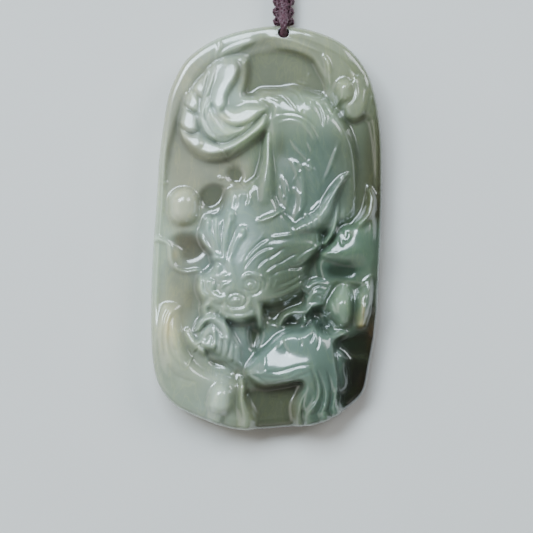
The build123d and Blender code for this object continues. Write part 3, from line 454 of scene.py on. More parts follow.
# Engraved and raised lines: width, depth (a negative depth raises the line), points
LINES = [
    # Rim
    (30, -50, [-860, 420, -875, 350, -885, 280, -890, 225]),
    (22, -60, [-890, 222, -850, 226]),
    (30, -60, [-955, -20, -940, -45, -920, -64]),
    (26, -60, [-365, 930, -400, 890, -430, 850, -440, 825]),
    # Leaf
    (22, -50, [-400, 822, -330, 834, -240, 842, -150, 850]),
    (22, -70, [-165, 836, -178, 820, -190, 800]),
    (18, -50, [-225, 836, -205, 820, -195, 802]),
    # Top edge
    (20, -70, [-20, 942, 100, 935, 220, 922, 340, 897, 470, 865]),
    (18, -50, [220, 948, 320, 940, 420, 917, 550, 885, 660, 845, 750, 790]),
    # Knob
    (20, -70, [720, 775, 745, 745, 765, 705, 775, 668, 760, 632, 715, 604]),
    (22, 60, [700, 745, 738, 720, 752, 670, 735, 625, 690, 602]),
    (16, -40, [853, 739, 885, 700, 896, 652, 875, 572, 830, 540]),
    # Bank beside the sky
    (30, -90, [490, 847, 515, 825, 530, 800, 540, 765]),
    # Top edge
    (16, -40, [250, 968, 400, 950, 550, 915, 680, 870, 780, 810]),
    # Sky
    (18, -30, [260, 725, 310, 713, 350, 712]),
    (18, -30, [370, 765, 368, 745]),
    # Tail
    (16, 90, [-475, 600, -420, 550, -350, 510, -260, 490, -190, 505]),
    (26, 100, [-597, 559, -588, 500, -532, 452, -446, 424, -359, 420, -273, 438, -143, 488,
        -20, 565]),
    (14, -120, [-755, 505, -737, 479, -710, 440, -683, 411, -640, 375, -591, 349, -489, 331,
        -359, 343, -251, 386, -100, 448, -13, 482]),
    (14, -90, [-660, 400, -600, 365, -520, 342, -430, 341, -330, 360, -220, 405]),
    (18, 100, [-640, 690, -620, 662, -585, 645, -543, 632, -500, 648]),
    (18, 100, [-705, 608, -670, 580, -620, 564, -590, 562]),
    (18, 100, [-750, 508, -705, 477, -640, 462, -590, 475]),
    (18, 100, [-490, 650, -515, 600, -530, 550, -500, 500, -440, 455, -360, 440, -280, 447,
        -200, 475, -100, 525]),
    (18, -90, [-505, 630, -550, 560, -540, 500, -480, 448, -400, 427, -320, 430, -240, 450,
        -140, 500]),
    (18, -90, [-485, 580, -450, 530, -400, 490, -360, 468, -320, 455]),
    (16, -70, [-460, 585, -420, 545, -370, 510]),
    # Arch
    (24, -80, [-60, 645, -20, 630, 50, 605]),
    (20, -60, [0, 655, 50, 640, 120, 615]),
    (20, 70, [-50, 665, 50, 652, 130, 645, 200, 610, 250, 575]),
    (22, -70, [140, 665, 190, 635, 230, 600, 260, 575]),
    (22, 90, [190, 680, 250, 665, 285, 635, 305, 600, 310, 565]),
    (26, -90, [240, 660, 280, 640, 305, 600, 305, 570]),
    (20, -60, [290, 660, 310, 630, 335, 605]),
    (20, -60, [350, 640, 375, 635, 385, 620]),
    (20, 80, [410, 625, 450, 590, 475, 550, 485, 500]),
    (22, -80, [430, 625, 475, 585, 500, 540, 495, 490]),
    (20, 70, [490, 605, 530, 575, 560, 545]),
    (20, -60, [510, 610, 545, 582, 575, 550]),
    (22, 50, [100, 555, 200, 560, 300, 545, 370, 520, 420, 490]),
    # Mane
    (16, -50, [214, 429, 268, 386, 333, 349, 377, 318, 420, 269, 452, 207, 431, 145]),
    (16, -60, [312, 312, 355, 298, 398, 281]),
    (16, -60, [204, 330, 268, 318, 300, 281, 312, 231, 322, 170, 330, 140]),
    (18, -70, [330, 140, 325, 115, 300, 90, 265, 70]),
    (16, -60, [225, 200, 258, 178, 290, 157]),
    (14, -70, [610, 405, 571, 343, 539, 287, 490, 231]),
    (16, -70, [133, 256, 171, 213, 186, 163, 171, 105]),
    (16, -50, [115, 205, 135, 165, 150, 130]),
    (16, -45, [20, 530, 140, 555, 280, 545, 380, 505, 450, 440, 490, 370]),
    (16, -45, [80, 510, 180, 525, 280, 515, 360, 480, 420, 420]),
    (16, 50, [320, 530, 400, 480, 460, 410, 500, 330]),
    (16, -50, [350, 420, 400, 370, 450, 330]),
    # Neck
    (20, -30, [660, 390, 680, 320, 690, 240]),
    (24, 30, [750, 420, 775, 320, 775, 200, 760, 120]),
    # Horns
    (16, -60, [-15, 450, -20, 380, -28, 320, -45, 270]),
    (14, 50, [0, 450, -4, 380, -12, 320, -20, 270]),
    (22, -60, [-140, 215, -120, 205, -100, 230]),
    (18, -60, [463, 120, 507, 157, 550, 200, 598, 231, 647, 256, 700, 266]),
    (16, -50, [507, 108, 571, 163, 636, 213, 690, 245]),
    (18, 60, [310, 60, 335, 20, 350, -25]),
    (18, 60, [360, 75, 385, 30, 400, -20]),
    (18, 60, [400, 85, 430, 40, 450, -10]),
    (18, -70, [380, 82, 420, 105, 455, 130]),
    (18, -70, [400, 85, 440, 65, 460, 60, 480, 85, 485, 115]),
    (30, -80, [255, -12, 265, -5]),
    (22, -70, [335, 65, 345, 50]),
    (20, -70, [615, 130, 600, 60, 580, 0, 550, -40, 500, -80]),
    (22, 100, [635, 120, 625, 50, 600, -10, 560, -60, 510, -95]),
    # Fur of the head
    (24, -70, [55, -45, 110, -43, 170, -38, 210, -33]),
    (20, 80, [-180, -160, -130, -115, -60, -75, 0, -55]),
    (18, -60, [-165, -155, -120, -120, -50, -85, 5, -65]),
    (20, 80, [-190, -200, -130, -150, -70, -120, 0, -100, 70, -95]),
    (18, -60, [-180, -200, -120, -155, -50, -125, 10, -105]),
    (20, 80, [-90, -200, -30, -165, 30, -145, 120, -110, 160, -95]),
    (18, -60, [-60, -195, -20, -170, 20, -150]),
    (20, 70, [0, -210, 60, -185, 130, -165, 200, -140, 280, -120]),
    (18, 60, [40, -235, 100, -215, 160, -205, 220, -195]),
    (18, -50, [0, -225, 50, -200, 100, -180]),
    # Ears
    (18, -60, [240, -175, 290, -145, 350, -120, 420, -100, 460, -78]),
    (22, 100, [200, -200, 280, -195, 340, -175, 400, -135]),
    (18, 70, [260, -178, 310, -162, 360, -135, 400, -112]),
    (20, -60, [-50, 32, 0, 40, 60, 55, 130, 85]),
    # Cheek
    (20, 70, [20, -360, 120, -350, 220, -325, 320, -285]),
    (20, 60, [60, -320, 150, -305, 250, -275, 340, -235]),
    (20, 60, [100, -280, 180, -265, 260, -240, 330, -210]),
    (18, -60, [20, -290, 30, -265, 20, -245]),
    (18, -60, [60, -295, 75, -275, 80, -255]),
    # Brow
    (18, 80, [-410, -130, -460, -70, -490, -10, -490, 30]),
    (18, 90, [-400, -140, -440, -60, -460, 0, -462, 45]),
    (18, 80, [-390, -140, -410, -60, -415, 0, -410, 40]),
    (20, 110, [-385, -150, -385, -70, -375, 0, -355, 50]),
    (18, 70, [-365, -140, -355, -70, -340, 0, -320, 50]),
    (18, 70, [-350, -140, -330, -70, -310, 0, -285, 50]),
    (20, 100, [-340, -150, -305, -80, -275, -30, -250, 10]),
    (18, 70, [-325, -150, -280, -90, -240, -45, -210, -15]),
    (18, 80, [-420, -130, -480, -90, -530, -50, -555, -10]),
    (24, -90, [-530, 35, -500, 20, -485, 0]),
    (22, -90, [-500, 50, -460, 43, -420, 50]),
    (26, -90, [-340, 55, -300, 75, -280, 50, -300, 20]),
    (28, -90, [-235, -10, -200, -10, -190, -30, -225, -60]),
    # Crown
    (22, -80, [-215, 175, -235, 155, -240, 140]),
    (22, -80, [-140, 155, -145, 130, -160, 110]),
    (20, -70, [-125, 225, -110, 210]),
    (18, 60, [-170, 200, -165, 160, -180, 120]),
    (18, 60, [-270, 180, -260, 140, -270, 100]),
    # Lips of the hollow
    (16, -50, [-305, 212, -275, 203, -225, 208, -185, 222]),
    (26, -100, [-410, 253, -395, 247, -380, 242]),
    # Eye
    (20, 80, [-195, -280, -175, -258, -130, -250, -85, -262, -80, -285, -100, -302, -145, -308,
        -185, -300, -195, -280]),
    (18, 80, [-165, -285, -160, -270, -130, -266, -110, -276, -125, -290, -145, -290]),
    (22, -80, [-205, -250, -170, -232, -120, -228, -60, -235, -30, -255]),
    (24, -80, [-165, -231, -145, -230]),
    (20, 90, [-60, -255, -45, -280, -60, -310, -100, -325, -160, -325]),
    (18, 70, [-30, -245, -10, -270, -20, -300]),
    # Nostril
    (20, 90, [-345, -350, -310, -325, -250, -318, -200, -330, -175, -355, -200, -380, -260, -388,
        -320, -380, -345, -350]),
    (20, 80, [-310, -355, -280, -340, -235, -342, -215, -356, -235, -370, -275, -370]),
    (20, -70, [-145, -340, -143, -355, -155, -370, -180, -385]),
    # Lips
    (20, 50, [-440, -385, -360, -410, -270, -420, -180, -418, -130, -400, -115, -370]),
    (18, 40, [-400, -405, -320, -435, -230, -445, -150, -440]),
    (22, -60, [-320, -410, -280, -413]),
    # Muzzle
    (22, -80, [-575, -235, -565, -270, -560, -300, -540, -325, -520, -340]),
    (22, -80, [-500, -255, -480, -265, -465, -285, -460, -300]),
    (20, 100, [-540, -245, -530, -280, -510, -310, -470, -330]),
    (20, 100, [-480, -245, -440, -255, -430, -290, -440, -320]),
    (20, 90, [-410, -260, -400, -285, -410, -310, -390, -335]),
    (20, -70, [-410, -300, -385, -290, -365, -275]),
    (20, 90, [-490, -330, -450, -345, -420, -370, -370, -380]),
    (22, -60, [-460, -345, -430, -360, -400, -370]),
    # Fang
    (24, -80, [-550, -390, -530, -380, -505, -375]),
    # Jaw
    (22, -80, [-590, -495, -570, -480, -545, -465, -535, -450]),
    (22, 120, [-575, -530, -545, -495, -500, -475, -450, -475, -410, -495, -380, -530]),
    (20, 110, [-530, -555, -500, -530, -465, -530, -455, -555, -480, -575]),
    # Beard
    (22, -90, [-460, -500, -450, -520, -450, -550, -455, -590]),
    (20, 110, [-430, -510, -420, -540, -425, -580, -440, -610]),
    (22, -90, [-410, -542, -380, -538, -350, -537, -330, -550]),
    (20, 110, [-380, -550, -375, -580, -385, -615, -400, -630]),
    (22, -90, [-350, -550, -345, -580, -340, -600]),
    (20, 110, [-310, -540, -310, -570, -325, -610, -340, -640]),
    (20, 100, [-280, -560, -275, -600, -280, -640, -290, -670]),
    (22, -80, [-245, -575, -235, -600, -235, -630]),
    (20, -70, [-330, -625, -310, -645, -275, -640]),
    (20, -70, [-500, -585, -470, -590, -450, -600]),
    # Mouth
    (22, -80, [-370, -445, -360, -460, -360, -475]),
    (22, -80, [-345, -435, -330, -450]),
    # Jaw
    (20, -50, [-686, -495, -684, -515]),
    (20, -70, [-655, -520, -640, -550, -600, -575, -565, -595, -530, -605]),
    # Chin
    (20, -70, [-420, -640, -360, -655, -300, -680, -240, -695]),
    # Wrist
    (22, -70, [-300, -730, -285, -720, -270, -705]),
    (20, -60, [-310, -705, -280, -700, -250, -700]),
    # Lower limb
    (26, -50, [-230, -752, -210, -748]),
    (22, 50, [-245, -760, -260, -820, -268, -880, -255, -950]),
    # Clouds
    (20, 70, [-840, -400, -875, -460, -885, -550, -870, -640]),
    (18, 60, [-810, -420, -835, -480, -840, -560, -815, -620, -750, -670, -670, -700]),
    (18, 50, [-920, -400, -940, -460, -940, -540]),
    (18, 50, [-800, -580, -740, -630, -670, -665]),
    (18, 50, [-860, -660, -800, -710, -720, -740, -620, -760]),
    # Shoulder
    (18, -60, [666, 92, 668, 60, 672, 30, 700, 6]),
    (40, 90, [650, 0, 655, -35, 680, -60, 710, -40, 700, -10]),
    (22, 80, [630, -30, 640, -65, 655, -92]),
    (22, -70, [460, -121, 530, -122, 590, -125, 630, -118]),
    # Spur
    (16, -60, [775, 27, 834, 42, 888, 67, 915, 104]),
    (16, -50, [841, 104, 868, 154, 880, 191, 858, 223]),
    (30, -100, [785, 24, 800, 22]),
    # Claws
    (18, -50, [560, -355, 600, -350, 620, -335, 645, -320]),
    (20, 70, [570, -330, 575, -370, 600, -420, 630, -460]),
    (20, -60, [550, -350, 575, -400, 610, -440]),
    (20, 60, [730, -300, 735, -360, 730, -420, 710, -470]),
    (24, -80, [840, -375, 835, -400, 820, -430]),
    (22, -50, [820, -275, 850, -255, 875, -245, 905, -230]),
    (18, -50, [860, -270, 880, -280, 895, -300]),
    (20, 80, [790, -340, 785, -390, 790, -440, 810, -480]),
    (20, 70, [930, -270, 920, -330, 900, -380, 870, -420]),
    # Wisps
    (18, 70, [360, -325, 410, -290, 470, -285, 530, -295]),
    (18, -60, [390, -310, 430, -295, 480, -290]),
    (18, -70, [440, -340, 465, -345, 480, -355]),
    (18, -70, [115, -475, 140, -445, 170, -430]),
    (18, 60, [200, -420, 280, -405, 350, -400]),
    (20, -70, [330, -420, 360, -405, 400, -375]),
    (20, -80, [335, -440, 342, -455, 335, -467]),
    # Arm
    (30, -60, [-20, -625, -15, -650, -20, -685]),
    (20, 80, [-20, -730, 80, -735, 180, -725, 270, -700, 370, -690]),
    (20, -60, [60, -728, 140, -728, 220, -712, 300, -695, 380, -688]),
    (18, 70, [20, -755, 120, -755, 220, -740, 310, -720, 380, -705]),
    (18, 70, [0, -705, 100, -705, 200, -690, 300, -675, 400, -672]),
    (20, -70, [-100, -705, -70, -715, -30, -712, 10, -700]),
    (18, 60, [-140, -720, -60, -740, 30, -775]),
    (18, -50, [100, -588, 120, -575, 140, -565]),
    (18, -50, [150, -560, 170, -545]),
    (18, -50, [285, -545, 305, -540]),
    (18, -60, [340, -535, 360, -525, 370, -512]),
    (18, 60, [130, -545, 150, -580, 190, -620]),
    (18, 60, [250, -520, 290, -550, 300, -580]),
    # Elbow
    (18, 70, [410, -490, 400, -530, 370, -560]),
    (18, 60, [440, -500, 450, -550, 430, -600]),
    # Spur
    (18, 60, [500, -520, 580, -525, 660, -520]),
    # Leg
    (22, 100, [380, -690, 410, -730, 430, -780, 430, -830, 390, -880]),
    (20, -70, [400, -700, 430, -740, 455, -800, 445, -840, 400, -880, 345, -920]),
    (22, 100, [440, -700, 470, -760, 490, -820, 470, -880, 420, -930]),
    (22, 100, [520, -700, 550, -770, 555, -840, 530, -900, 500, -950]),
    (20, 80, [600, -660, 620, -720, 620, -790, 600, -860]),
    (20, -60, [570, -660, 600, -730, 600, -800, 575, -870, 560, -920]),
    # Foot
    (22, -80, [250, -860, 235, -880, 240, -905]),
    (22, -70, [495, -870, 505, -885]),
    (20, 80, [330, -820, 310, -870, 315, -930]),
    (26, 120, [315, -890, 310, -930, 335, -965]),
    # Whisker
    (34, -130, [-985, -20, -922, -56, -868, -70, -835, -97, -822, -152, -785, -196, -695, -216,
        -600, -209, -545, -222]),
    (16, 40, [-830, -60, -770, -82, -700, -105, -655, -128]),
    # Notch under the cord
    (85, 50, [145, 1000, 150, 965]),
]

# How softly the carving's forms run into each other, and how far under the ground their sides
# start, in levels
BODY_CREASE = 0.125
BODY_ROOT = 0.3
FORM_CREASE = 0.07
FORM_ROOT = 0.18

# Powers that round a form's section
FORM_SHOULDER = (2.2, 0.6)

# A line's depth, how fast it fades at its ends, and its shape across
LINE_DEPTH = 0.8
LINE_FADE = 5
LINE_START = 0.25
LINE_REACH = 2.2
LINE_SHARPNESS = 0.5

# Steps between two points of a smooth run, and passes of smoothing
OUTLINE_STEPS = 6
RUN_STEPS = 5
FACE_PASSES = 5
LINE_PASSES = 1
FINE_PASSES = 10
BROAD_PASSES = 60
TINT_PASSES = 12

# Colours of the stone, with painted shade in a few rows. Columns: across, up, reach across, reach
# up, red, green, blue out of 255
STONE_COLOURS_AND_PAINTED_SHADE = [
    (-0.70, 0.72, 0.22, 0.16, 168, 166, 146),
    (-0.78, 0.36, 0.22, 0.18, 160, 158, 138),
    (-0.40, 0.27, 0.18, 0.08, 150, 150, 132),
    (-0.95, 0.00, 0.10, 0.50, 172, 184, 168),
    (-0.40, 0.92, 0.30, 0.08, 170, 180, 164),
    (0.20, 0.95, 0.40, 0.06, 150, 154, 132),
    (0.12, 0.76, 0.30, 0.10, 128, 128, 106),
    # Painted shade on the top right edge
    (0.80, 0.80, 0.10, 0.10, 112, 118, 92),
    (-0.35, 0.54, 0.12, 0.02, 196, 192, 162),
    (-0.48, 0.58, 0.20, 0.16, 166, 182, 176),
    (-0.20, 0.52, 0.18, 0.10, 160, 172, 152),
    (0.35, 0.58, 0.28, 0.10, 138, 152, 132),
    (0.35, 0.28, 0.24, 0.20, 96, 112, 102),
    (0.74, 0.40, 0.14, 0.20, 98, 106, 88),
    (0.90, 0.35, 0.07, 0.20, 72, 72, 50),
    (0.60, 0.80, 0.16, 0.10, 140, 146, 124),
    (0.75, 0.63, 0.13, 0.11, 142, 148, 122),
    (-0.715, 0.10, 0.13, 0.08, 182, 182, 158),
    # Painted shade in the hollow above the pearl
    (-0.47, 0.15, 0.09, 0.06, 112, 112, 92),
    (-0.60, -0.11, 0.12, 0.05, 134, 132, 112),
    (-0.75, -0.28, 0.14, 0.12, 140, 142, 124),
    (0.00, 0.22, 0.10, 0.18, 112, 124, 108),
    (-0.35, -0.10, 0.24, 0.18, 138, 156, 148),
    (0.12, -0.12, 0.20, 0.12, 94, 108, 94),
    (-0.25, -0.34, 0.24, 0.12, 138, 150, 132),
    (0.20, -0.28, 0.20, 0.10, 76, 86, 72),
    (0.75, -0.09, 0.20, 0.08, 90, 110, 94),
    # Painted shade in the pocket under the shoulder
    (0.65, -0.21, 0.12, 0.035, 40, 62, 54),
    (0.42, -0.32, 0.10, 0.08, 96, 114, 104),
    (0.64, -0.38, 0.10, 0.10, 112, 130, 112),
    (0.87, -0.32, 0.07, 0.10, 92, 106, 90),
    (0.50, 0.06, 0.10, 0.05, 122, 138, 126),
    (0.82, -0.44, 0.05, 0.03, 120, 124, 100),
    # Painted shade in the hollow between the claws
    (0.46, -0.45, 0.10, 0.04, 70, 84, 76),
    # Painted shade in the hollow under the cheek
    (0.08, -0.44, 0.12, 0.05, 84, 92, 78),
    (-0.40, -0.54, 0.18, 0.10, 144, 158, 148),
    # Painted shade in the hollow at the mouth's corner
    (-0.11, -0.54, 0.07, 0.06, 74, 88, 78),
    (0.15, -0.62, 0.24, 0.10, 104, 124, 116),
    (0.50, -0.68, 0.14, 0.12, 92, 110, 100),
    (0.42, -0.86, 0.14, 0.10, 88, 106, 94),
    (0.80, -0.70, 0.14, 0.14, 18, 20, 8),
    (0.95, -0.52, 0.05, 0.14, 62, 42, 20),
    (0.07, -0.90, 0.20, 0.09, 92, 92, 72),
    (-0.86, -0.48, 0.08, 0.14, 190, 184, 152),
    (-0.75, -0.68, 0.16, 0.12, 164, 168, 146),
    (-0.85, -0.80, 0.20, 0.12, 156, 168, 150),
    (-0.45, -0.86, 0.12, 0.08, 164, 174, 160),
    (-0.45, -0.98, 0.40, 0.05, 150, 158, 138),
    (-0.22, -0.88, 0.08, 0.12, 120, 126, 106),
]

# Colours over the hollows and the pocket: painted shade that darkens the recesses, and near black
# in the dark corner
HOLLOW_TINTS_AND_PAINTED_SHADE = {
    "sky": (122, 126, 106), "beside_tail": (100, 102, 88), "above_pearl": (102, 104, 88),
    "below_pearl": (112, 110, 94), "under_shoulder": (40, 56, 44),
    "mouth_corner": (74, 84, 66), "between_claws": (88, 102, 92), "under_cheek": (88, 96, 80),
    "under_cheek_right": (84, 94, 82), "foot_recess": (80, 84, 68), "dark_corner": (20, 25, 8),
    "under_chin": (104, 110, 90),
}

# Stains and painted shade over those colours. Columns: across, up, reach across, reach up, red,
# green, blue, strength
STAINS_AND_PAINTED_SHADE = [
    (0.70, -0.575, 0.10, 0.022, 22, 36, 22, 0.8),
    (0.82, -0.635, 0.12, 0.020, 52, 58, 42, 0.6),
    (0.79, -0.73, 0.07, 0.06, 8, 8, 2, 0.8),
    (0.93, -0.60, 0.04, 0.12, 84, 58, 30, 0.8),
    (0.87, -0.80, 0.05, 0.06, 74, 50, 26, 0.8),
    (0.815, -0.475, 0.03, 0.018, 184, 168, 120, 0.5),
    (0.83, -0.40, 0.012, 0.05, 164, 140, 96, 0.4),
    (-0.85, -0.49, 0.025, 0.05, 204, 188, 144, 0.7),
    (-0.79, -0.13, 0.03, 0.03, 190, 176, 132, 0.5),
    (-0.66, -0.07, 0.10, 0.03, 96, 88, 72, 0.6),
    # Painted shade in the hollow before the snout
    (-0.67, -0.36, 0.07, 0.08, 128, 122, 104, 0.5),
    # Painted shadow under the chin
    (-0.42, -0.665, 0.10, 0.02, 92, 94, 74, 0.6),
    # Painted shade in the recess beside the first horn
    (0.12, 0.40, 0.05, 0.07, 92, 96, 78, 0.6),
]

# Painted shading: the stone is made darker low down and in creases, and paler on ridges
DEPTH_SHADE = 0.92
PAINTED_DEPTH_SHADE_GAIN = 0.12
PAINTED_DEPTH_SHADE_LIMITS = (0.80, 1.05)
PAINTED_FORM_SHADING_GAIN = 1.2
PAINTED_LINE_SHADING_GAIN = 3.0
PAINTED_RELIEF_SHADING_LIMITS = (0.6, 1.35)
FAR_WEIGHT = 1e-5

# Millimetres looked at round an edge, and round a form's line in shares of its girth
EDGE_MARGIN = 0.1
FORM_MARGIN = 1.02

# Keeps divisions and logarithms away from zero
TINY = 1e-9
FLAT = 1e-12
SOFT_GAP = 1e-6
RANK_LIMIT = 1e-10

# Times that the search for the top edge is halved
HALVINGS = 40

# A direction that no line of the cord starts along
ROUGH_SIDE = (0.3, 0.2, 1.0)


def rows(numbers, columns):
    """Whole thousandths as shares, in rows"""
    return np.array(numbers).reshape(-1, columns) / 1000


def linear(red, green, blue):
    """The colour of a screen's red, green and blue as the renderer takes it"""
    shares = [part / 255 for part in (red, green, blue)]
    return [s / 12.92 if s <= 0.04045 else ((s + 0.055) / 1.055) ** 2.4 for s in shares]


def smooth_path(places, steps, closed=False):
    """A smooth run through the places, with this many steps between two of them"""
    if closed:
        p = np.vstack([places[-1], places, places[0], places[1]])
    else:
        p = np.vstack([2 * places[0] - places[1], places, 2 * places[-1] - places[-2]])
    t = (np.arange(steps) / steps)[:, None]
    run = np.vstack([
        0.5 * (2 * b + (c - a) * t + (2 * a - 5 * b + 4 * c - d) * t ** 2
               + (3 * b - a - 3 * c + d) * t ** 3)
        for a, b, c, d in zip(p, p[1:], p[2:], p[3:])
    ])
    return run if closed else np.vstack([run, p[-2]])


def closed_edge(numbers):
    return smooth_path(rows(numbers, 2), RUN_STEPS, closed=True)


def outline_polar():
    """The outline as directions from the middle and how far out it lies in each"""
    run = smooth_path(rows(OUTLINE, 2), OUTLINE_STEPS, closed=True)
    direction = np.arctan2(run[:, 1], run[:, 0])
    order = np.argsort(direction)
    return direction[order], np.hypot(run[:, 0], run[:, 1])[order]


DIRECTION, RADIUS = outline_polar()


def reach_of(a, u):
    """How far out the outline lies in the direction of a place"""
    return np.interp(np.arctan2(u, a), DIRECTION, RADIUS, period=2 * np.pi)


def smooth_step(t):
    t = np.clip(t, 0, 1)
    return t * t * (3 - 2 * t)


def higher(a, b, crease):
    """The higher of two levels, with a soft crease where they meet"""
    share = np.clip(0.5 + 0.5 * (b - a) / crease, 0, 1)
    return a + (b - a) * share + crease * share * (1 - share)


def in_millimetres(run):
    return run[:, 0] * HALF_W, run[:, 1] * HALF_H


def near(x, y, run, margin):
    """Which places lie in the run's box with a margin, in millimetres"""
    lx, ly = in_millimetres(run)
    return ((x > lx.min() - margin) & (x < lx.max() + margin)
            & (y > ly.min() - margin) & (y < ly.max() + margin))


def along_segment(x, y, lx, ly, i):
    """Distance to one segment of a line, and the way along it to the nearest point"""
    dx, dy = lx[i + 1] - lx[i], ly[i + 1] - ly[i]
    way = np.clip(((x - lx[i]) * dx + (y - ly[i]) * dy) / max(dx * dx + dy * dy, TINY), 0, 1)
    return np.hypot(x - lx[i] - way * dx, y - ly[i] - way * dy), way


def to_run(x, y, run):
    """Distance in millimetres to a run, with the nearest segment and the way along it"""
    lx, ly = in_millimetres(run)
    best = np.full(x.shape, np.inf)
    index = np.zeros(x.shape, int)
    best_way = np.zeros(x.shape)
    for i in range(len(run) - 1):
        distance, way = along_segment(x, y, lx, ly, i)
        nearer = distance < best
        best = np.where(nearer, distance, best)
        index = np.where(nearer, i, index)
        best_way = np.where(nearer, way, best_way)
    return best, index, best_way


def inside(x, y, edge):
    """Which places lie inside a closed edge"""
    lx, ly = in_millimetres(edge)
    odd = np.zeros(x.shape, bool)
    for i in range(len(edge)):
        j = (i + 1) % len(edge)
        span = ly[j] - ly[i]
        crosses = (ly[i] > y) != (ly[j] > y)
        cut = lx[i] + (y - ly[i]) * (lx[j] - lx[i]) / (span if abs(span) > FLAT else FLAT)
        odd ^= crosses & (x < cut)
    return odd


def to_edge(x, y, edge):
    """Distance to a closed edge and whether each place lies inside it"""
    distance, _, _ = to_run(x, y, np.vstack([edge, edge[:1]]))
    return distance, inside(x, y, edge)


def spread(x, y, spots):
    """Levels given at a few places, spread between them as a bent thin plate does"""
    table = rows(spots, 3)
    places = table[:, :2] * (HALF_W, HALF_H)
    middle = places.mean(axis=0)
    places = places - middle

    def bend(dx, dy):
        gap = dx * dx + dy * dy
        return gap * np.log(gap + SOFT_GAP)

    count = len(places)
    plane = np.column_stack([np.ones(count), places])
    system = np.zeros((count + 3, count + 3))
    system[:count, :count] = bend(*(places[:, None] - places[None, :]).transpose(2, 0, 1))
    system[:count, count:] = plane
    system[count:, :count] = plane.T
    shares = np.linalg.lstsq(system, np.append(table[:, 2], (0, 0, 0)), rcond=RANK_LIMIT)[0]
    x, y = x - middle[0], y - middle[1]
    level = shares[count] + shares[count + 1] * x + shares[count + 2] * y
    for (at_x, at_y), share in zip(places, shares):
        level = level + share * bend(x - at_x, y - at_y)
    return level


def rim_rise(a, u, share):
    """Level of the rim, from each place's direction and its share of the way out"""
    table = np.array(RIM)
    direction = np.degrees(np.arctan2(u, a)) % 360
    start, slope, rise = [np.interp(direction, table[:, 0], measure / 1000, period=360)
                          for measure in table[:, 1:].T]
    return rise * smooth_step((share - start) / slope)


def hollow_share(x, y, hollow):
    """How far each place is into a hollow: 0 outside it, 1 past its wall"""
    edge = closed_edge(hollow["edge"])
    close = near(x, y, edge, EDGE_MARGIN)
    distance, within = to_edge(x[close], y[close], edge)
    wall = hollow["wall"] / 1000 * HALF_W
    share = np.zeros(x.shape)
    share[close] = np.where(within, smooth_step(distance / wall), 0)
    return share


def sink(x, y, level, hollow):
    """The carved level with a hollow sunk into it"""
    depth = np.minimum(spread(x, y, hollow["spots"]), level)
    return level + (depth - level) * hollow_share(x, y, hollow)


def raise_body(x, y, level, shape):
    """Raises a body with a rounded shoulder, in place"""
    edge = closed_edge(shape["edge"])
    close = near(x, y, edge, EDGE_MARGIN)
    px, py = x[close], y[close]
    distance, within = to_edge(px, py, edge)
    t = np.clip(distance / (shape["shoulder"] / 1000 * HALF_W), 0, 1)
    arc = np.sqrt(np.clip(1 - (1 - t) ** 2, 0, 1))
    raised = -BODY_ROOT + (spread(px, py, shape["spots"]) + BODY_ROOT) * arc
    old = level[close]
    level[close] = np.where(within, np.maximum(higher(old, raised, BODY_CREASE), old), old)


def raise_form(x, y, level, form):
    """Raises a round form that tapers along its line, in place"""
    run = smooth_path(rows(form, 4), RUN_STEPS)
    girth = run[:, 2] * HALF_W
    close = near(x, y, run, girth.max() * FORM_MARGIN)
    px, py = x[close], y[close]
    lx, ly = in_millimetres(run)
    best = np.full(px.shape, np.inf)
    rise = np.zeros(px.shape)
    for i in range(len(run) - 1):
        distance, way = along_segment(px, py, lx, ly, i)
        t = distance / (girth[i] + way * (girth[i + 1] - girth[i]))
        rise = np.where(t < best, run[i, 3] + way * (run[i + 1, 3] - run[i, 3]), rise)
        best = np.minimum(best, t)
    dome = np.clip(1 - best ** FORM_SHOULDER[0], 0, 1) ** FORM_SHOULDER[1]
    raised = -FORM_ROOT + (rise + FORM_ROOT) * dome
    old = level[close]
    level[close] = np.where(best < 1, np.maximum(higher(old, raised, FORM_CREASE), old), old)


def score(x, y, level, width, depth, points):
    """Engraves or raises a line that fades at both ends, in place"""
    run = smooth_path(rows(points, 2), RUN_STEPS)
    width = width / 1000 * HALF_W
    close = near(x, y, run, LINE_REACH * width)
    distance, index, way = to_run(x[close], y[close], run)
    along = (index + way) / (len(run) - 1)
    fade = np.clip(np.minimum(along, 1 - along) * LINE_FADE + LINE_START, 0, 1)
    across = np.exp(-(distance / (LINE_SHARPNESS * width)) ** 2)
    level[close] -= LINE_DEPTH * (depth / 1000) * fade * across


def polish(level, passes):
    """The level smoothed a little, this many times"""
    for _ in range(passes):
        p = np.pad(level, 1, mode="edge")
        beside = p[:-2, 1:-1] + p[2:, 1:-1] + p[1:-1, :-2] + p[1:-1, 2:]
        level = (4 * p[1:-1, 1:-1] + 2 * beside
                 + p[:-2, :-2] + p[:-2, 2:] + p[2:, :-2] + p[2:, 2:]) / 16
    return level


def face_level(x, y, share):
    """The carving's level at each place on the face, in shares of the relief"""
    level = rim_rise(x / HALF_W, y / HALF_H, share)
    for hollow in HOLLOWS.values():
        level = sink(x, y, level, hollow)
    for shape in BODIES.values():
        raise_body(x, y, level, shape)
    for form in FORMS.values():
        raise_form(x, y, level, form)
    for pocket in POCKETS.values():
        level = sink(x, y, level, pocket)
    level = polish(level, FACE_PASSES)
    for width, depth, points in LINES:
        score(x, y, level, width, depth, points)
    return polish(level, LINE_PASSES)


def square_to_outline(u, v):
    """Places in shares on the carved face, each with its share of the way out to the outline"""
    square = np.maximum(np.abs(u), np.abs(v))
    length = np.hypot(u, v)
    stretch = np.where(length > 0, reach_of(u, v) * square / np.maximum(length, TINY), 0)
    share = square * FACE_SHARE
    return u * stretch * FACE_SHARE, v * stretch * FACE_SHARE, share


def patch_share(across, up, a, u, reach_a, reach_u):
    """How much of a soft patch of colour is at each place"""
    return np.exp(-((across - a) / reach_a) ** 2 - ((up - u) / reach_u) ** 2)


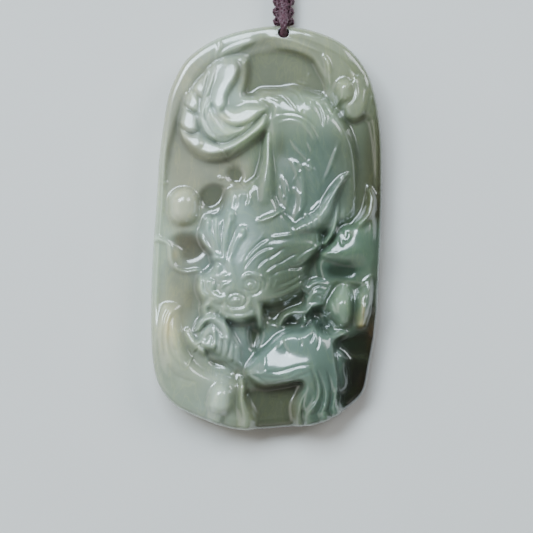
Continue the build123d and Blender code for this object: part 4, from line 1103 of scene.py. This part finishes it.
def stone_colour_with_painted_shading(across, up, level):
    """Colour at each place, from the tables, with painted shade in hollows and painted light on
    ridges
    """
    total = np.zeros(across.shape + (3,))
    weight = np.zeros(across.shape)
    for *patch, red, green, blue in STONE_COLOURS_AND_PAINTED_SHADE:
        share = patch_share(across, up, *patch) + FAR_WEIGHT
        total += share[..., None] * np.array(linear(red, green, blue))
        weight += share
    colour = total / weight[..., None]
    recesses = {**HOLLOWS, **POCKETS}
    # Painted shade laid over the recesses, near black in the dark corner
    for name, tint in HOLLOW_TINTS_AND_PAINTED_SHADE.items():
        share = hollow_share(across * HALF_W, up * HALF_H, recesses[name])
        colour += (np.array(linear(*tint)) - colour) * polish(share, TINT_PASSES)[..., None]
    # Stains, and painted shade under the chin and in two recesses
    for *patch, red, green, blue, strength in STAINS_AND_PAINTED_SHADE:
        share = strength * patch_share(across, up, *patch)
        colour += (np.array(linear(red, green, blue)) - colour) * share[..., None]
    # Painted shading: darker where the carving lies low and in creases, paler on ridges
    fine = polish(level, FINE_PASSES)
    broad = polish(fine, BROAD_PASSES)
    depth = np.clip(DEPTH_SHADE + PAINTED_DEPTH_SHADE_GAIN * level, *PAINTED_DEPTH_SHADE_LIMITS)
    relief = np.clip(1 + PAINTED_FORM_SHADING_GAIN * (fine - broad) + PAINTED_LINE_SHADING_GAIN * (level - fine), *PAINTED_RELIEF_SHADING_LIMITS)
    return colour * (depth * relief)[..., None]


def extrude_ring(mesh, border):
    """A new ring of faces on the border: its edges, and each new vertex with the one above it"""
    grown = bmesh.ops.extrude_edge_only(mesh, edges=border)["geom"]
    fresh = {piece for piece in grown if isinstance(piece, bmesh.types.BMVert)}
    edges = [piece for piece in grown if isinstance(piece, bmesh.types.BMEdge)]
    above = {}
    for vert in fresh:
        others = [edge.other_vert(vert) for edge in vert.link_edges]
        above[vert] = [other for other in others if other not in fresh][0]
    return [edge for edge in edges if set(edge.verts) <= fresh], above


def turned_edge(mesh, stone):
    """Rings of faces that turn the carved face over its edge and down to the flat back"""
    border = [edge for edge in mesh.edges if edge.is_boundary]
    top = {vert: vert.co.z for edge in border for vert in edge.verts}
    rings = [(inset * FRONT_ROUND, drop * FRONT_ROUND, None) for inset, drop in FRONT_RINGS]
    rings += [(inset * BACK_ROUND, None, height * BACK_ROUND) for inset, height in BACK_RINGS]
    for inset, drop, height in rings:
        border, above = extrude_ring(mesh, border)
        for vert, other in above.items():
            top[vert] = top[other]
            x, y = vert.co.x / MM, vert.co.y / MM
            a, u = x / HALF_W, y / HALF_H
            out = float(reach_of(a, u)) / math.hypot(a, u)
            edge_x, edge_y = x * out, y * out
            keep = 1 - inset / math.hypot(edge_x, edge_y)
            z = top[vert] - drop * MM if height is None else height * MM
            vert.co = (edge_x * keep * MM, edge_y * keep * MM, z)
            vert[stone] = other[stone]
    return border


def carved_plaque():
    """The carved face, its turned-over edge and the flat back, with the stone's colours and painted
    shading
    """
    mesh = bmesh.new()
    bmesh.ops.create_grid(mesh, x_segments=CELLS_ACROSS, y_segments=CELLS_UP, size=1)
    corners = np.array([vert.co[:2] for vert in mesh.verts])
    column = np.rint((corners[:, 0] + 1) / 2 * CELLS_ACROSS).astype(int)
    row = np.rint((corners[:, 1] + 1) / 2 * CELLS_UP).astype(int)
    u, v = np.meshgrid(np.linspace(-1, 1, CELLS_ACROSS + 1), np.linspace(-1, 1, CELLS_UP + 1))
    across, up, share = square_to_outline(u, v)
    level = face_level(across * HALF_W, up * HALF_H, share)
    place = np.stack([across * HALF_W, up * HALF_H, GROUND + RELIEF * level], axis=2) * MM
    colour = stone_colour_with_painted_shading(across, up, level)
    # The stone's colours with the painted shading, at each vertex
    stone = mesh.verts.layers.float_color.new("stone")
    for vert, j, i in zip(mesh.verts, row, column):
        vert.co = place[j, i]
        vert[stone] = (*colour[j, i], 1)
    bmesh.ops.contextual_create(mesh, geom=turned_edge(mesh, stone))
    bmesh.ops.recalc_face_normals(mesh, faces=mesh.faces)
    block = bpy.data.meshes.new("jade_plaque_carved")
    mesh.to_mesh(block)
    mesh.free()
    return block


def curve_of(name, kind, lines, radius, sides):
    """Round tubes along the lines, in metres, as one curve"""
    curve = bpy.data.curves.new(name, "CURVE")
    curve.dimensions = "3D"
    for line in lines:
        spline = curve.splines.new(kind)
        spline.points.add(len(line) - 1)
        for point, place in zip(spline.points, line):
            point.co = (*place, 1)
        if kind == "NURBS":
            spline.order_u = 3
            spline.use_endpoint_u = True
            spline.resolution_u = 12
    curve.bevel_depth = radius
    curve.bevel_resolution = sides
    curve.use_fill_caps = True
    return curve


def mesh_of(curve):
    """The mesh of a curve, which is then thrown away"""
    holder = bpy.data.objects.new(curve.name, curve)
    mesh = bpy.data.meshes.new_from_object(holder)
    bpy.data.objects.remove(holder)
    bpy.data.curves.remove(curve)
    return mesh


def line_of(points):
    """Points along the smooth line with these control points"""
    mesh = mesh_of(curve_of("line", "NURBS", [points], 0, 2))
    line = [vert.co.copy() for vert in mesh.vertices]
    bpy.data.meshes.remove(mesh)
    return line


def even_steps(line, step):
    """The line again with a point every step, and how far along it each point lies"""
    places = np.array(line)
    run = np.concatenate([[0], np.cumsum(np.linalg.norm(np.diff(places, axis=0), axis=1))])
    count = max(2, int(round(run[-1] / step)) + 1)
    at = np.linspace(0, run[-1], count)
    return np.stack([np.interp(at, run, places[:, i]) for i in range(3)], axis=1), at


def side_directions(places):
    """Two directions square to the line at each point, turning as little as they can"""
    ahead = np.gradient(places, axis=0)
    ahead /= np.linalg.norm(ahead, axis=1)[:, None]
    first = np.cross(ahead[0], ROUGH_SIDE)
    first /= np.linalg.norm(first)
    sides = [first]
    for direction in ahead[1:]:
        side = sides[-1] - direction * np.dot(sides[-1], direction)
        sides.append(side / np.linalg.norm(side))
    sides = np.array(sides)
    return sides, np.cross(ahead, sides)


def braided(line, girth, braid):
    """Lines of a round braid's plies on this line: half of them turn one way and half the other"""
    plies, ply, lay, step, _ = braid
    ply, lay, step = ply * MM, lay * MM, step * MM
    places, at = even_steps(line, step)
    radius = girth(places) if callable(girth) else girth
    first, second = side_directions(places)
    half = plies // 2
    lines = []
    for k in range(plies):
        way = 1 if k < half else -1
        turn = way * 2 * math.pi * at / lay + 2 * math.pi * (k % half) / half
        weave = way * np.cos(half * 2 * math.pi * at / lay)
        out = radius - ply * PLY_INSET + PLY_WEAVE * ply * weave
        lines.append(places + (out * np.cos(turn))[:, None] * first
                     + (out * np.sin(turn))[:, None] * second)
    return lines


def laid_plies(name, lines, braid, sides):
    """One mesh of a braid's plies"""
    mesh = mesh_of(curve_of(name, "POLY", lines, braid[-1] * MM, sides))
    mesh.name = name
    return mesh


def top_edge(x):
    """Height up the plaque of its outline at this place across it, in millimetres"""
    low, high = 0.5 * HALF_H, 1.1 * HALF_H
    for _ in range(HALVINGS):
        middle = (low + high) / 2
        a, u = x / HALF_W, middle / HALF_H
        if math.hypot(a, u) < float(reach_of(a, u)):
            low = middle
        else:
            high = middle
    return low


EDGE_Y = top_edge(BORE_ACROSS)
STEM_START = EDGE_Y + KNOT_FROM_EDGE
STEM_END = STEM_START + KNOT_COUNT * KNOT_PITCH


def strand_points():
    """Route of the strand: out of the knots, over the rim, down the bore and back to the knots"""
    leg_y = EDGE_Y + STRAND_RADIUS + STRAND_OFF_EDGE
    knots_y = STEM_START + STRAND_IN_KNOTS
    over_z = GROUND + STRAND_OVER_RIM
    upper_z = STEM_HEIGHT + LEGS_APART / 2
    lower_z = STEM_HEIGHT - LEGS_APART / 2
    route = [
        (knots_y, upper_z), (leg_y, upper_z + LEGS_SPREAD), (leg_y, over_z),
        (EDGE_Y - BORE_FRONT_FROM_TOP, over_z), (EDGE_Y - BORE_TURN_FROM_TOP, BORE_TURN_HEIGHT),
        (knots_y, lower_z),
    ]
    return [(BORE_ACROSS * MM, y * MM, z * MM) for y, z in route]


def strand_girth(places):
    """Half the strand's width at each point, drawn in where it dives into the bore"""
    from_mouth = np.hypot(places[:, 1] / MM - EDGE_Y + BORE_FRONT_FROM_TOP,
                          places[:, 2] / MM - GROUND - STRAND_OVER_RIM)
    drawn_in = MOUTH_NARROWING * np.exp(-(from_mouth / MOUTH_REACH) ** 2)
    return STRAND_RADIUS * MM * (1 - drawn_in)


def bored(block):
    """The carved block with the strand's bore cut through it"""
    bore_radius = (STRAND_RADIUS + BORE_CLEARANCE) * MM
    bore = mesh_of(curve_of("bore", "NURBS", [strand_points()], bore_radius, 4))
    cutter = bpy.data.objects.new("bore", bore)
    holder = bpy.data.objects.new("plaque_block", block)
    for thing in (cutter, holder):
        bpy.context.collection.objects.link(thing)
    cut = holder.modifiers.new("bore", "BOOLEAN")
    cut.operation = "DIFFERENCE"
    cut.object = cutter
    cut.solver = "EXACT"
    graph = bpy.context.evaluated_depsgraph_get()
    mesh = bpy.data.meshes.new_from_object(holder.evaluated_get(graph))
    bpy.data.objects.remove(cutter)
    bpy.data.objects.remove(holder)
    return mesh


def snake_knots():
    """The column of knots: four thick braided strands laid round each other"""
    ends = (STEM_START + KNOT_END, STEM_END - KNOT_END)
    axis = [(BORE_ACROSS * MM, y * MM, STEM_HEIGHT * MM) for y in ends]
    lay = 2 * KNOT_PITCH * MM
    places, at = even_steps(axis, KNOT_AXIS_STEP * MM)
    half = KNOT_STRANDS // 2
    lines = []
    for k in range(KNOT_STRANDS):
        way = 1 if k < half else -1
        turn = way * 2 * math.pi * at / lay + math.pi * (k % half) + math.pi / 2
        weave = way * np.cos(half * 2 * math.pi * at / lay)
        out = (KNOT_RADIUS - KNOT_STRAND_INSET) * MM + KNOT_STRAND_WEAVE * MM * weave
        line = places.copy()
        line[:, 0] += out * np.sin(turn)
        line[:, 2] += out * np.cos(turn)
        lines += braided(line, KNOT_STRAND_RADIUS * MM, KNOT_BRAID)
    return laid_plies("snake_knots", lines, KNOT_BRAID, 0)


def nape_wraps():
    """The sliding knot: one braided strand wound round the two cords, its turns side by side"""
    _, cord_end, height = NECK_ROUTE[-1]
    along = STEM_END + cord_end
    out = NAPE_RADIUS - NAPE_STRAND_RADIUS
    reach = NAPE_LENGTH / 2 - NAPE_STRAND_RADIUS
    count = NAPE_TURNS * NAPE_STEPS_A_TURN
    line = []
    for k in range(count + 1):
        share = k / count
        angle = 2 * math.pi * NAPE_TURNS * share
        line.append((BORE_ACROSS - reach + 2 * reach * share,
                     along + out * math.cos(angle),
                     height + out * math.sin(angle)))
    lines = braided(np.array(line) * MM, NAPE_STRAND_RADIUS * MM, NAPE_BRAID)
    return laid_plies("nape_wraps", lines, NAPE_BRAID, 0)


def hanging_strand():
    lines = braided(line_of(strand_points()), strand_girth, STRAND_BRAID)
    return laid_plies("strand", lines, STRAND_BRAID, 1)


def neck_braid(name, side):
    """One half of the neck cord: side is -1 for the left and 1 for the right"""
    route = [((BORE_ACROSS + side * sideways) * MM, (STEM_END + along) * MM, z * MM)
             for sideways, along, z in NECK_ROUTE]
    lines = braided(line_of(route), NECK_RADIUS * MM, NECK_BRAID)
    return laid_plies(name, lines, NECK_BRAID, 1)


def add_piece(name, mesh, finish, node):
    """A finished piece on the object, which stands for the given node"""
    piece = bpy.data.objects.new(name, mesh)
    bpy.context.collection.objects.link(piece)
    mesh.materials.clear()
    mesh.materials.append(finish)
    for face in mesh.polygons:
        face.use_smooth = True
    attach(piece, "root")
    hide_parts(node)
    return piece


class Value:
    """A socket of a finish's nodes that takes part in arithmetic"""

    def __init__(self, finish, socket):
        self.finish = finish
        self.socket = socket

    def maths(self, operation, first, second):
        return self.finish.add("ShaderNodeMath", {"operation": operation}, {0: first, 1: second})

    def __add__(self, other):
        return self.maths("ADD", self, other)

    def __radd__(self, other):
        return self.maths("ADD", other, self)

    def __mul__(self, other):
        return self.maths("MULTIPLY", self, other)

    def __rmul__(self, other):
        return self.maths("MULTIPLY", other, self)


class Finish:
    """A material and its nodes"""

    def __init__(self, name):
        self.material = bpy.data.materials.new(name)
        self.material.use_nodes = True
        self.tree = self.material.node_tree
        self.surface = self.tree.nodes["Principled BSDF"]

    def plug(self, socket, value):
        if isinstance(value, Value):
            self.tree.links.new(value.socket, socket)
        else:
            socket.default_value = value

    def add(self, kind, settings=None, inputs=None, output=0):
        """One node: its type, its settings, its inputs by name or number, and the output wanted"""
        node = self.tree.nodes.new(kind)
        for name, value in (settings or {}).items():
            if name == "stops":
                ramp = node.color_ramp.elements
                while len(ramp) < len(value):
                    ramp.new(0.5)
                for stop, (at, colour) in zip(ramp, value):
                    stop.position = at
                    stop.color = (*colour, 1)
            else:
                setattr(node, name, value)
        for name, value in (inputs or {}).items():
            self.plug(node.inputs[name], value)
        return Value(self, node.outputs[output])

    def set(self, **values):
        """Sets or links the shader's own sockets"""
        for name, value in values.items():
            self.plug(self.surface.inputs[name.replace("_", " ")], value)

    def mix(self, share, first, second, blend="MIX"):
        colours = [(*c, 1) if isinstance(c, (tuple, list)) else c for c in (first, second)]
        return self.add("ShaderNodeMix", {"data_type": "RGBA", "blend_type": blend},
                        {0: share, 6: colours[0], 7: colours[1]}, 2)

    def noise(self, where, scale, detail=3.0, roughness=0.5, distortion=0.0):
        return self.add("ShaderNodeTexNoise", None,
                        {"Vector": where, "Scale": scale, "Detail": detail,
                         "Roughness": roughness, "Distortion": distortion})

    def ramp(self, value, *stops):
        return self.add("ShaderNodeValToRGB", {"stops": stops}, {0: value})

    def bump(self, strength, distance, height):
        self.set(Normal=self.add("ShaderNodeBump", None,
                                 {"Strength": strength, "Distance": distance, "Height": height}))


BLACK = (0, 0, 0)
WHITE = (1, 1, 1)


def jade_finish():
    """Polished stone that light enters, with clouds, fine grain and pale veins"""
    finish = Finish("polished_jade")
    where = finish.add("ShaderNodeTexCoord", output="Object")
    # The stone's colours with the painted shading, from the carved mesh
    stone = finish.add("ShaderNodeAttribute", {"attribute_name": "stone"})
    cloud = finish.noise(where, 110.0, 4.0, 0.55, 0.6)
    clouds = finish.ramp(cloud, (0.38, BLACK), (0.66, WHITE))
    tinted = finish.mix(clouds, stone, (1.16, 1.14, 1.06), "MULTIPLY")
    grain = finish.noise(where, 900.0, 3.0, 0.6)
    tinted = finish.mix(grain, tinted, (0.84, 0.88, 0.84), "MULTIPLY")
    turned = finish.add("ShaderNodeMapping", None,
                        {"Vector": where, "Rotation": (0, 0, 0.7), "Scale": (1.0, 0.35, 1.0)})
    vein = finish.noise(turned, 240.0, 5.0, 0.6, 1.4)
    veins = finish.ramp(vein, (0.47, BLACK), (0.50, WHITE), (0.53, BLACK))
    tinted = finish.mix(veins, tinted, (1.14, 1.12, 1.02), "MULTIPLY")
    finish.set(
        Base_Color=tinted, Roughness=0.14 + 0.12 * grain, IOR=1.6, Specular_IOR_Level=0.6,
        Subsurface_Weight=0.6, Subsurface_Radius=(0.9, 1.0, 0.8), Subsurface_Scale=0.0014,
        Coat_Weight=0.65, Coat_Roughness=0.07, Coat_IOR=1.6,
    )
    finish.bump(0.06, 0.0006, finish.noise(where, 420.0, 2.0, 0.5))
    return finish.material


def cord_finish():
    """Dark waxed thread with a little sheen"""
    finish = Finish("waxed_cord")
    where = finish.add("ShaderNodeTexCoord", output="Object")
    patch = finish.noise(where, 300.0, 3.0, 0.6)
    fibre = finish.noise(where, 5200.0, 2.0, 0.7)
    colour = finish.mix(patch, linear(42, 18, 26), linear(78, 42, 54))
    colour = finish.mix(0.5 * fibre, colour, linear(120, 78, 92))
    finish.set(
        Base_Color=colour, Roughness=0.34 + 0.2 * fibre, Sheen_Weight=0.25, Sheen_Roughness=0.4,
        Sheen_Tint=(*linear(170, 120, 140), 1),
    )
    finish.bump(0.35, 0.00006, fibre)
    return finish.material


def floor_finish():
    finish = Finish("pale_floor")
    where = finish.add("ShaderNodeTexCoord", output="Object")
    grain = finish.noise(where, 30.0, 3.0)
    colour = finish.mix(grain, linear(214, 212, 208), linear(222, 220, 216))
    finish.set(Base_Color=colour, Roughness=0.85 + 0.05 * grain)
    return finish.material


def add_floor(size):
    mesh = bmesh.new()
    bmesh.ops.create_grid(mesh, x_segments=1, y_segments=1, size=size)
    data = bpy.data.meshes.new("floor")
    mesh.to_mesh(data)
    mesh.free()
    data.materials.append(floor_finish())
    floor = bpy.data.objects.new("floor", data)
    bpy.context.collection.objects.link(floor)


def add_camera(place, lens, sensor_width, clip_start):
    """A camera that looks straight down"""
    data = bpy.data.cameras.new("camera")
    data.lens = lens
    data.sensor_width = sensor_width
    data.clip_start = clip_start
    camera = bpy.data.objects.new("camera", data)
    camera.location = place
    bpy.context.collection.objects.link(camera)
    bpy.context.scene.camera = camera


def add_light(name, place, size, power, colour):
    """A soft rectangular light that faces the middle of the plaque"""
    lamp = bpy.data.lights.new(name, "AREA")
    lamp.shape = "RECTANGLE"
    lamp.size, lamp.size_y = size
    lamp.energy = power
    lamp.color = colour
    holder = bpy.data.objects.new(name, lamp)
    holder.location = place
    holder.rotation_euler = (-Vector(place)).to_track_quat("-Z", "Y").to_euler()
    bpy.context.collection.objects.link(holder)


def light_room(colour, strength):
    """The room's own even light"""
    world = bpy.data.worlds.new("room")
    world.use_nodes = True
    background = world.node_tree.nodes["Background"].inputs
    background["Color"].default_value = (*colour, 1)
    background["Strength"].default_value = strength
    bpy.context.scene.world = world


jade = jade_finish()
cord = cord_finish()

plaque = add_piece("plaque_carved", bored(carved_plaque()), jade, "jade_plaque")

strand = add_piece("strand_braided", hanging_strand(), cord, "hanging_strand")
knots = add_piece("knots_interlaced", snake_knots(), cord, "knotted_stem")
nape = add_piece("nape_wound", nape_wraps(), cord, "nape_knot")
left = add_piece("neck_braid_left", neck_braid("neck_left", -1), cord, "neck_cord_left")
right = add_piece("neck_braid_right", neck_braid("neck_right", 1), cord, "neck_cord_right")

add_floor(size=3)
add_camera(place=(0, -0.0063, 0.355), lens=144, sensor_width=36, clip_start=0.01)

# Lights: place and size in metres, power in watts, colour
add_light("window", (-0.30, 0.60, 0.90), (0.76, 0.46), 17.5, (0.72, 0.88, 1.0))
add_light("left_window", (-0.54, 0.36, 0.86), (0.26, 0.34), 3.0, (0.78, 0.90, 1.0))
add_light("side_window", (0.62, 0.48, 0.62), (0.40, 0.50), 4.0, (0.90, 0.95, 1.0))
add_light("left_wall", (-0.95, -0.10, 0.60), (1.2, 1.0), 4.2, (1.0, 0.98, 0.92))
add_light("front_wall", (0.05, -0.95, 0.60), (1.6, 0.9), 1.6, (1.0, 0.97, 0.93))
light_room(colour=(0.96, 0.96, 0.92), strength=0.12)
